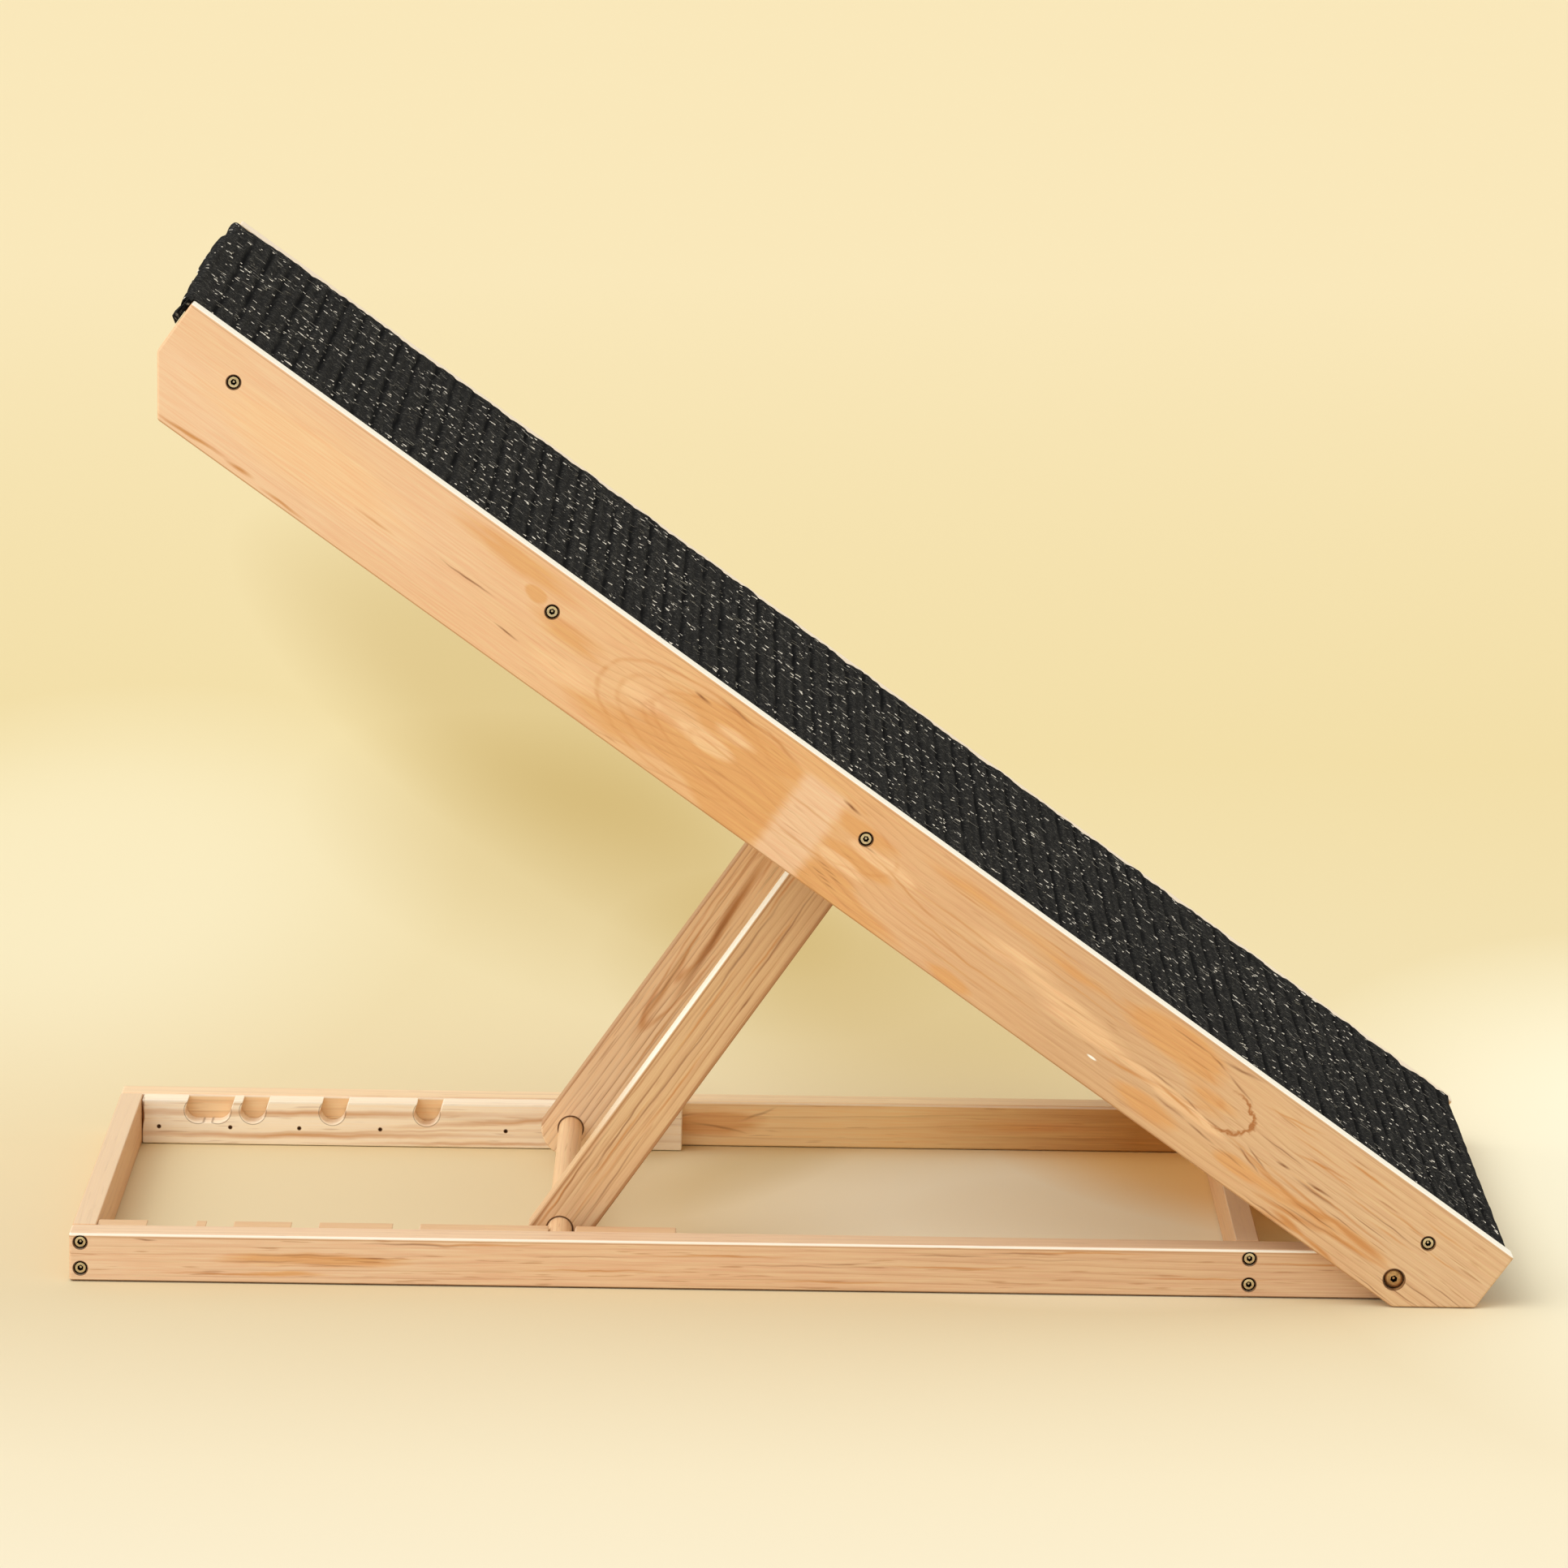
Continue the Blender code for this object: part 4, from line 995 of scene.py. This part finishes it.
class RAMP_OT_prop(bpy.types.Operator):
    """Model the prop's two legs and its lower dowel"""

    bl_idname = "ramp.prop"
    bl_label = "Prop"

    def execute(self, context):
        half = LEG_WIDTH / 2
        corner = math.acos(half / LEG_FOOT_RADIUS)
        outline = arc((0.0, 0.0), half, 0.0, math.pi, 24)
        outline += arc((0.0, -PROP_LENGTH), LEG_FOOT_RADIUS, math.pi + corner,
                       2 * math.pi - corner, 20)
        # a painted shade ring round the dowel's hole
        rim = 1000 * DOWEL_RADIUS + 0.6
        for side, sign in SIDES.items():
            node = "prop_leg_" + side
            low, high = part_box(node)
            mat = wood_material(
                side + "_leg_pine", LEG_GRAIN, None, pith=(0, low.y - 0.03, -0.045),
                offset=(10.6 + 2 * sign, 0, 0.2), spacing=0.0046, warp=0.016, strength=0.7,
                amber=0.22, depth=low.y,
                shade_rims=[(1000 * PROP_LENGTH, 0, rim, rim, 0.09, 1.2, 0)], **LEG_LOOKS[side])
            holes = [hole(0.0, 0.0, AXLE_RADIUS + BORE_GAP, -0.2, 0.2),
                     hole(0.0, -PROP_LENGTH, DOWEL_RADIUS + BORE_GAP, -0.2, 0.2)]
            board(side + "_leg", outline, (low.y, high.y), mat, "prop", node, PROP,
                  context.scene.ramp_sizes.small_round, holes)
        self.dowel()
        return {"FINISHED"}

    def dowel(self):
        _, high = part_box("prop_dowel")
        profile = [(-high.y, 0.0), (-high.y, DOWEL_RADIUS - DOWEL_ROUND),
                   (DOWEL_ROUND * 0.3 - high.y, DOWEL_RADIUS - DOWEL_ROUND * 0.3),
                   (DOWEL_ROUND - high.y, DOWEL_RADIUS)]
        profile += [(-depth, radius) for depth, radius in reversed(profile)]
        foot = PROP @ moved(0, 0, -PROP_LENGTH)
        mat = wood_material(
            "dowel_pine", foot @ CROSS_GRAIN, srgb(236, 200, 156), pith=(0, 0.03, -0.02),
            offset=(13.0, 0, 0), spacing=0.003, warp=0.004, strength=0.35, amber=0.2)
        dowel = new_piece("foot_dowel", turned(profile, 48), mat)
        dowel.data.transform(foot)
        shaded(dowel)
        fit(dowel, "prop", "prop_dowel")


def carpet_path():
    """Middle line of the carpet: (u, v, outward u, outward v)."""
    toe = RAIL_LENGTH - CARPET_END
    count = round(toe / ROW_STEP)
    rows = [(toe * (1 - i / count), CARPET_AXIS_V - CARPET_OUTER, 0.0, -1.0)
            for i in range(count)]
    steps = 20
    for i in range(steps + 1):
        a = math.pi / 2 + math.pi * i / steps
        rows.append((math.cos(a) * CARPET_OUTER, CARPET_AXIS_V - math.sin(a) * CARPET_OUTER,
                     math.cos(a), -math.sin(a)))
    count = round(CARPET_TUCK / (3 * ROW_STEP))
    return rows + [(CARPET_TUCK * i / count, CARPET_AXIS_V + CARPET_OUTER, 0.0, 1.0)
                   for i in range(1, count + 1)]


def uneven(x, y, z):
    return noise.noise(Vector((x, y, z)))


def groove_depth(along, y, pitch):
    """0 on a rib to 1 in the deepest grooves, which wander and break a little."""
    if abs(along) < pitch * 0.6:  # none at the bend over the top end
        return 0.0
    wander = uneven(along * 22, y * 38, 3.1) * 0.0011
    wander += uneven(along * 90, y * 160, 9.7) * 0.0005
    place = (along + wander) / pitch
    nearest = round(place)
    off = abs(place - nearest) * pitch
    strong = 1.0 if nearest % 2 == 0 else 0.4
    strong *= 0.75 + 0.5 * uneven(nearest * 0.7, y * 30, 1.3)
    return clamped(strong) * math.exp(-(off / 0.0016) ** 2)


def carpet_lift(u, y, sizes):
    """How far the flat of the carpet stands out from its even level."""
    edge = eased(clamped((y - CARPET_HALF + 0.016) / 0.014))
    lift = -groove_depth(-u, y, sizes.rib_pitch) * sizes.rib_depth * (1 - 0.7 * edge)
    lift += uneven(u * 45, y * 45, 2.0) * 0.00045
    lift += uneven(u * 190, y * 190, 7.0) * 0.00025
    # the far edge is pressed up against the rail in lumps
    rise = -0.0008 + 0.0012 * clamped(u / 0.06)
    rise += 0.0004 * clamped((u - 0.22) / 0.12)
    rise += 0.0016 * uneven(u * 62, 4.0, 6.0)
    return lift + rise * edge


def roll_bulge(y):
    """The carpet stands off the top end, more along the near part of its width."""
    far = eased(clamped((0.125 - y) / 0.03))
    return -0.0006 + 0.0030 * far * (0.35 + 0.65 * clamped((y + 0.19) / 0.16))


def pile_place(along, y, sizes):
    """A matrix with local Z out of the pile; below 0 it runs on round the roll."""
    if along >= 0.0:
        return moved(along, y, carpet_lift(along, y, sizes))
    angle = min(-along / CARPET_OUTER, 2.4)
    lift = CARPET_OUTER + roll_bulge(y) * math.sin(min(angle, math.pi / 2))
    out = Vector((-math.sin(angle), 0.0, math.cos(angle)))
    return (Matrix.Translation(Vector((0, y, -CARPET_AXIS_V)) + out * lift)
            @ spun(-angle, "Y"))


def scattered(name, count, make_one, mat):
    """Many small shapes, made in batches so that no batch grows slow."""
    whole = bmesh.new()
    for start in range(0, count, BATCH):
        batch = bmesh.new()
        for _ in range(min(BATCH, count - start)):
            make_one(batch)
        mesh = bpy.data.meshes.new(name)
        batch.to_mesh(mesh)
        batch.free()
        whole.from_mesh(mesh)
        bpy.data.meshes.remove(mesh)
    piece = new_piece(name, whole, mat)
    piece.data.transform(DECK)
    return piece


class RAMP_OT_carpet(bpy.types.Operator):
    """Model the ribbed carpet with its flecks and loose fibres"""

    bl_idname = "ramp.carpet"
    bl_label = "Carpet"

    def execute(self, context):
        sizes = context.scene.ramp_sizes
        colours = context.scene.ramp_colours
        carpet = self.pile(sizes)
        flecks = self.flecks(sizes, fibre_material("fleck_wool", colours.carpet_fleck, 0.92))
        strands = self.strands(sizes, fibre_material("fibre_grey", srgb(170, 166, 154), 0.3))
        flap = self.flap(carpet.data.materials[0])
        for piece in (flecks, strands, flap):
            fit(piece, "deck")
        return {"FINISHED"}

    def pile(self, sizes):
        """The closed, grooved carpet: a grown row of the path across the width."""
        bm = bmesh.new()
        layer = bm.verts.layers.float.new("groove")
        rows = carpet_path()
        profile = [bm.verts.new((u, -CARPET_HALF, -v)) for u, v, *_ in rows]
        under = [r for i, r in enumerate(rows) if i % 12 == 0 or r[2] != 0.0 or r is rows[-1]]
        profile += [bm.verts.new((u - a * CARPET_THICK, -CARPET_HALF, -(v - b * CARPET_THICK)))
                    for u, v, a, b in reversed(under)]
        edges = [bm.edges.new(pair) for pair in zip(profile, profile[1:] + profile[:1])]
        for _ in range(ROWS_ACROSS):
            grown = bmesh.ops.extrude_edge_only(bm, edges=edges)["geom"]
            edges = [e for e in grown if isinstance(e, bmesh.types.BMEdge)
                     and len(e.link_faces) == 1]
            moved = [v for v in grown if isinstance(v, bmesh.types.BMVert)]
            bmesh.ops.translate(bm, vec=(0, 2 * CARPET_HALF / ROWS_ACROSS, 0), verts=moved)
        bmesh.ops.holes_fill(bm, edges=[e for e in bm.edges if len(e.link_faces) == 1],
                             sides=0)
        self.shape(bm, layer, sizes)
        carpet = new_piece("ramp_carpet", bm, carpet_material())
        carpet.data.transform(DECK)
        carpet.data.shade_smooth()
        carpet.data.set_sharp_from_angle(angle=math.radians(70))
        fit(carpet, "deck", "carpet")
        return carpet

    def shape(self, bm, layer, sizes):
        """Presses the grooves in and lets the top end roll unevenly."""
        for vert in bm.verts:
            u, y, v = vert.co.x, vert.co.y, -vert.co.z
            off_axis = Vector((min(u, 0.0), 0.0, -(v - CARPET_AXIS_V)))
            if off_axis.length < CARPET_OUTER - 0.0001:
                continue
            out = off_axis.normalized()
            if u <= 0.0 or v > CARPET_AXIS_V:
                along = max(0.0, CARPET_OUTER * math.atan2(-out.x, out.z))
                grown = math.sin(min(along / CARPET_OUTER, math.pi / 2))
                lift = grown * (roll_bulge(y) + 0.0016 * uneven(y * 26, v * 60, 5.0))
            else:
                along, lift = -u, 0.0
            vert[layer] = groove_depth(along, y, sizes.rib_pitch)
            vert.co += out * (carpet_lift(-along, y, sizes) + lift)

    def flap(self, mat):
        """The tongue of carpet that hangs out past the near rail's top end."""
        points = [(-0.0030, 0.0004), (-0.0036, -0.0050), (-0.0052, -0.0140),
                  (-0.0006, -0.0170), (-0.0005, -0.0060), (-0.0005, 0.0004)]
        flap = new_piece("carpet_flap", rounded(extruded(points, -0.1950, -0.1740), 0.0004), mat)
        flap.data.transform(DECK)
        shaded(flap)
        return flap

    def flecks(self, sizes, mat):
        """Short pale bits of fibre, each a spindle of a few faces."""
        rng = random.Random(11)

        def spindle(bm):
            u = rng.uniform(-0.009, RAIL_LENGTH - CARPET_END - 0.003)
            y = rng.uniform(-CARPET_HALF + 0.002, CARPET_HALF - 0.002)
            half = rng.uniform(0.0008, 0.0026) * rng.uniform(0.5, 1.0)
            width = rng.uniform(0.0002, 0.00052)
            turn = rng.gauss(-0.25, 0.5)
            place = (pile_place(u, y, sizes) @ spun(turn, "Z")
                     @ spun(math.pi / 2, "Y")
                     @ Matrix.Diagonal((width, width, 2 * half, 1)))
            grown = bmesh.ops.create_cone(bm, cap_ends=True, segments=4, radius1=0.35,
                                          radius2=1.0, depth=1.0)["verts"]
            bmesh.ops.transform(bm, matrix=place, verts=grown)

        return scattered("carpet_flecks", sizes.flecks, spindle, mat)

    def strands(self, sizes, mat):
        """Low curled fibres, grey against the pile."""
        rng = random.Random(23)

        def strand(bm):
            u = rng.uniform(0.002, RAIL_LENGTH - CARPET_END - 0.006)
            y = rng.uniform(-CARPET_HALF + 0.006, CARPET_HALF - 0.006)
            turn = rng.gauss(-0.2, 0.7)
            bend = rng.gauss(0, 0.3)
            step = rng.uniform(0.0009, 0.0017)
            ring = bmesh.ops.create_circle(bm, segments=3, cap_ends=True,
                                           radius=rng.uniform(0.00010, 0.00018))["verts"]
            place = (moved(u, y, carpet_lift(u, y, sizes) + 0.0002)
                     @ spun(turn, "Z") @ spun(math.pi / 2, "Y"))
            bmesh.ops.transform(bm, matrix=place, verts=ring)
            face = ring[0].link_faces[0]
            for _ in range(5):
                face = bmesh.ops.extrude_discrete_faces(bm, faces=[face])["faces"][0]
                turn += bend
                shift = Vector((math.cos(turn) * step, math.sin(turn) * step, 0))
                bmesh.ops.translate(bm, vec=shift, verts=face.verts[:])

        return scattered("carpet_fibres", sizes.fibres, strand, mat)


def screw_profile(head, shank, thick, length, dome):
    """Depth and radius of a fastener, its head towards the outside."""
    turns = [math.radians(a) for a in (0, 20, 40, 58, 74, 86)]
    points = [(dome * (1 - math.cos(a)), head * math.sin(a)) for a in turns]
    return points + [(dome * 1.35, head), (thick - head * 0.22, head * 0.98),
                     (thick, shank), (length - shank, shank), (length, 0.0)]


def socket_head(name, profile, sides, width, deep, rim, mat, dark):
    """A turned fastener with a hexagon socket; painted shade on the socket and head edge, a
    painted glint in the socket floor.
    """
    body = new_piece(name, turned(profile, sides), mat)
    socket = bmesh.new()
    bmesh.ops.create_cone(socket, cap_ends=True, segments=6, radius1=width / 2,
                          radius2=width / 2, depth=2 * deep,
                          matrix=spun(math.pi / 2, "X"))
    cut_away(body, [socket])
    mesh = body.data
    mesh.materials.append(dark)
    head = max(radius for _, radius in profile)
    bm = bmesh.new()
    bm.from_mesh(mesh)

    def place(face):
        middle = face.calc_center_median()
        return math.hypot(middle.x, middle.z), middle.y

    # the floor's middle keeps the plated metal as a painted glint; the socket's walls, the ring
    # round that disc and the head's outer edge take the painted shade material
    floor = [f for f in bm.faces if place(f)[0] < 0.0002 and 0.0003 < place(f)[1] < 2 * deep]
    bmesh.ops.inset_region(bm, faces=floor, thickness=width * 0.32)
    for face in bm.faces:
        reach, depth = place(face)
        in_socket = reach < width / 2 and depth > 0.0004
        if (in_socket and face not in floor) or reach > head * rim:
            face.material_index = 1
    bm.to_mesh(mesh)
    bm.free()
    bpy.data.objects.remove(body, do_unlink=True)
    return mesh


def fasteners(kind, nodes_named, mesh, body):
    """A copy of a fastener's mesh at each of the CAD's own places, under a new name."""
    for node in nodes_named:
        low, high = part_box(node)
        outer = low.y if high.y < 0 else high.y
        place = moved((low.x + high.x) / 2, outer, (low.z + high.z) / 2)
        if high.y >= 0:
            place = place @ spun(math.pi, "Z")
        obj = linked(node.replace(*kind), mesh.copy())
        obj.data.transform(place @ spun(40 * low.x + 15 * low.z, "Y"))
        shaded(obj, 40)
        fit(obj, body, node)


class RAMP_OT_screws(bpy.types.Operator):
    """Model the socket screws of the rails and of the base"""

    bl_idname = "ramp.screws"
    bl_label = "Screws"

    def execute(self, context):
        mat = metal_material("yellow_plated_screw", context.scene.ramp_colours.brass, 0.28)
        dark = metal_material("screw_shadow", srgb(26, 21, 16), 0.6)
        profile = screw_profile(SCREW_HEAD_RADIUS, SCREW_SHANK_RADIUS, 0.0036,
                                SCREW_LENGTH - 0.0007, 0.0007)
        mesh = socket_head("screw", profile, 28, 0.0040, 0.0020, 0.78, mat, dark)
        for side in SIDES:
            fasteners(("rail_", "deck_"), screw_names("rail", side), mesh, "deck")
            fasteners(("base_", "frame_"), screw_names("base", side), mesh, "base")
        return {"FINISHED"}


class RAMP_OT_hinge(bpy.types.Operator):
    """Model the domed hinge bolts"""

    bl_idname = "ramp.hinge"
    bl_label = "Hinge Bolts"

    def execute(self, context):
        mat = metal_material("brown_brass_bolt", srgb(196, 158, 116), 0.3, 0.6)
        dark = metal_material("bolt_shadow", srgb(28, 21, 15), 0.6)
        low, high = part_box("hinge_bolt_left")
        profile = screw_profile(BOLT_HEAD_RADIUS, BOLT_SHANK_RADIUS, 0.0042, high.y - low.y,
                                0.0021)
        mesh = socket_head("bolt", profile, 40, 0.0046, 0.0024, 0.93, mat, dark)
        for side in SIDES:
            fasteners(("hinge_", "pivot_"), ["hinge_bolt_" + side], mesh, "deck")
        return {"FINISHED"}


class RAMP_OT_finishes(bpy.types.Operator):
    """Give the CAD pieces that stay their wood, plywood and metal"""

    bl_idname = "ramp.finishes"
    bl_label = "Finishes"

    def execute(self, context):
        given = {"brad": metal_material("blackened_brad", srgb(22, 19, 16), 0.5),
                 "hinge_washer": metal_material("zinc_washer", srgb(196, 192, 182), 0.32),
                 "hinge_insert": metal_material("brass_insert", srgb(188, 150, 86), 0.3),
                 "deck_board": plywood_material()}
        for name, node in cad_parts.items():
            if node.hide_render:
                continue
            mats = [mat for start, mat in given.items() if name.startswith(start)]
            node.data.materials.clear()
            node.data.materials.append(mats[0] if mats else self.wood(name, context.scene))
        return {"FINISHED"}

    def wood(self, name, scene):
        middle = Matrix.Translation(sum(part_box(name), Vector()) / 2)
        turn = spun(TILT if name.startswith("batten") else LEG_LEAN, "Y")
        return wood_material(
            name + "_pine", middle @ turn @ CROSS_GRAIN, scene.ramp_colours.pine_tan,
            pith=(0, 0.05, -0.035), offset=(15 + 3 * len(name), 0, 0), spacing=0.0045,
            warp=0.014, strength=0.35, amber=0.3)


# Soft patches of painted shadow, painted light and warm painted shade on the floor: x, y, half
# sizes, turn and amount
PAINTED_SHADOWS = ((-0.25, 1.70, 0.17, 1.10, 0.239, 0.78), (-0.13, 1.05, 0.24, 0.62, 0.25, 0.54),
          (0.11, 0.60, 0.24, 0.46, 0.24, 0.8), (-0.02, 0.12, 0.05, 0.16, -0.5, 0.45))
PAINTED_LIGHT_POOLS = ((0.66, 0.10, 0.36, 0.75, 0.0, 1.15), (-0.55, 0.95, 0.30, 0.8, 0.0, 0.45),
         (0.19, 0.0, 0.26, 0.22, 0.0, 1.6))
PAINTED_WARM_SHADE = ((0.275, 0.115, 0.20, 0.11, -0.94, 1.25),)


class RAMP_OT_stage(bpy.types.Operator):
    """Set the floor, the lights and the camera"""

    bl_idname = "ramp.stage"
    bl_label = "Stage"

    def execute(self, context):
        scene = context.scene
        bm = bmesh.new()
        bmesh.ops.create_grid(bm, x_segments=1, y_segments=1, size=30)
        bmesh.ops.translate(bm, vec=(0, 0, -0.0004), verts=bm.verts)
        new_piece("floor", bm, self.floor_material(scene.ramp_colours.floor))
        self.light("soft_sun", (-0.50, -0.55, 1.30), 40, 0.56)
        self.light("front_fill", (-0.45, -1.0, 0.30), 60, 0.08)
        self.light("side_fill", (-1.0, -0.30, 0.75), 60, 1.05)
        self.world(scene)
        self.camera(scene)
        scene.view_settings.view_transform = "Standard"
        return {"FINISHED"}

    def floor_material(self, colour):
        """Pale warm floor with a painted shade band round the ramp, painted shadows and painted
        light pools.
        """
        nodes = Finish("pale_floor")
        # the darker band of stops round the ramp is painted shade
        tone = nodes.ramp(nodes.span(nodes.part(nodes.point, 1), -1.0, 4.5),
                          (0.0, srgb(237, 229, 204)), (0.08, srgb(235, 224, 193)),
                          (0.145, srgb(224, 209, 172)), (0.20, srgb(230, 214, 174)),
                          (0.3, srgb(227, 212, 168)), (0.45, srgb(226, 209, 158)),
                          (1.0, colour))
        # soft patches of painted light, warm painted shade and painted shadow
        for rows, cover in ((PAINTED_LIGHT_POOLS, srgb(255, 253, 230)), (PAINTED_WARM_SHADE, srgb(238, 190, 96)),
                            (PAINTED_SHADOWS, srgb(188, 160, 92))):
            total = 0.0
            for x, y, half_x, half_y, turn, amount in rows:
                ball = nodes.ball(nodes.point, (x, y, 0), (half_x, half_y, 1.0), (0, 0, turn))
                ball = nodes.math("SMOOTH_MIN", ball, 0.6, 0.3)
                total = nodes.math("MULTIPLY_ADD", ball, amount, total)
            tone = nodes.mix(nodes.math("MINIMUM", total, 0.8), tone, cover)
        cloud = nodes.times(nodes.noise(nodes.point, 2.5, 3.0), 0.05)
        return nodes.finish(nodes.mix(cloud, tone, srgb(226, 204, 160)), 0.9,
                            **{"Specular IOR Level": 0.1})

    def light(self, name, towards, degrees, strength):
        data = bpy.data.lights.new(name, "SUN")
        data.angle = math.radians(degrees)
        data.energy = strength
        data.color = (1.0, 0.99, 0.97)
        turn = Vector(towards).to_track_quat("Z", "Y").to_euler()
        linked(name, data).rotation_euler = turn

    def world(self, scene):
        scene.world = bpy.data.worlds.new("soft_room")
        scene.world.use_nodes = True
        nodes = Tree(scene.world.node_tree)
        path = nodes.add("LightPath").outputs
        seen = nodes.math("MAXIMUM", path["Is Camera Ray"], path["Is Glossy Ray"])
        seen = nodes.math("MAXIMUM", seen, path["Is Transmission Ray"])
        background = nodes.tree.nodes["Background"].inputs
        nodes.feed(background["Color"],
                   nodes.mix(seen, (1.0, 0.98, 0.96, 1), srgb(246, 232, 188)))
        nodes.feed(background["Strength"], nodes.math("MULTIPLY_ADD", seen, 0.18, 0.82))

    def camera(self, scene):
        yaw, pitch, roll = (math.radians(a) for a in (0.329, 11.852, 0.908))
        data = bpy.data.cameras.new("photo_camera")
        data.sensor_width = 36
        data.lens = PHOTO_FOCAL / PHOTO_SIZE * data.sensor_width
        data.clip_end = 100
        camera = linked("photo_camera", data)
        camera.matrix_world = (moved(-0.0319, -4.2371, 1.1718) @ spun(-yaw, "Z")
                               @ spun(math.pi / 2 - pitch, "X") @ spun(roll, "Z"))
        scene.camera = camera


class RAMP_PT_panel(bpy.types.Panel):
    """Buttons that build the ramp piece by piece"""

    bl_idname = "RAMP_PT_panel"
    bl_label = "Pet Ramp"
    bl_space_type = "VIEW_3D"
    bl_region_type = "UI"
    bl_category = "Pet Ramp"

    def draw(self, context):
        column = self.layout.column()
        for operator in OPERATORS:
            column.operator(operator.bl_idname)
        for group in (context.scene.ramp_sizes, context.scene.ramp_colours):
            box = self.layout.box()
            for key in group.__annotations__:
                box.prop(group, key)


OPERATORS = (RAMP_OT_side_rails, RAMP_OT_base_frame, RAMP_OT_notch_strips, RAMP_OT_prop,
             RAMP_OT_carpet, RAMP_OT_screws, RAMP_OT_hinge, RAMP_OT_finishes, RAMP_OT_stage)
CLASSES = (RampSizes, RampColours, *OPERATORS, RAMP_PT_panel)


def register():
    for cls in CLASSES:
        bpy.utils.register_class(cls)
    bpy.types.Scene.ramp_sizes = bpy.props.PointerProperty(type=RampSizes)
    bpy.types.Scene.ramp_colours = bpy.props.PointerProperty(type=RampColours)


def unregister():
    del bpy.types.Scene.ramp_colours
    del bpy.types.Scene.ramp_sizes
    for cls in reversed(CLASSES):
        bpy.utils.unregister_class(cls)


def main():
    register()
    for operator in OPERATORS:
        group, name = operator.bl_idname.split(".")
        getattr(getattr(bpy.ops, group), name)()


if __name__ == "__main__":
    main()
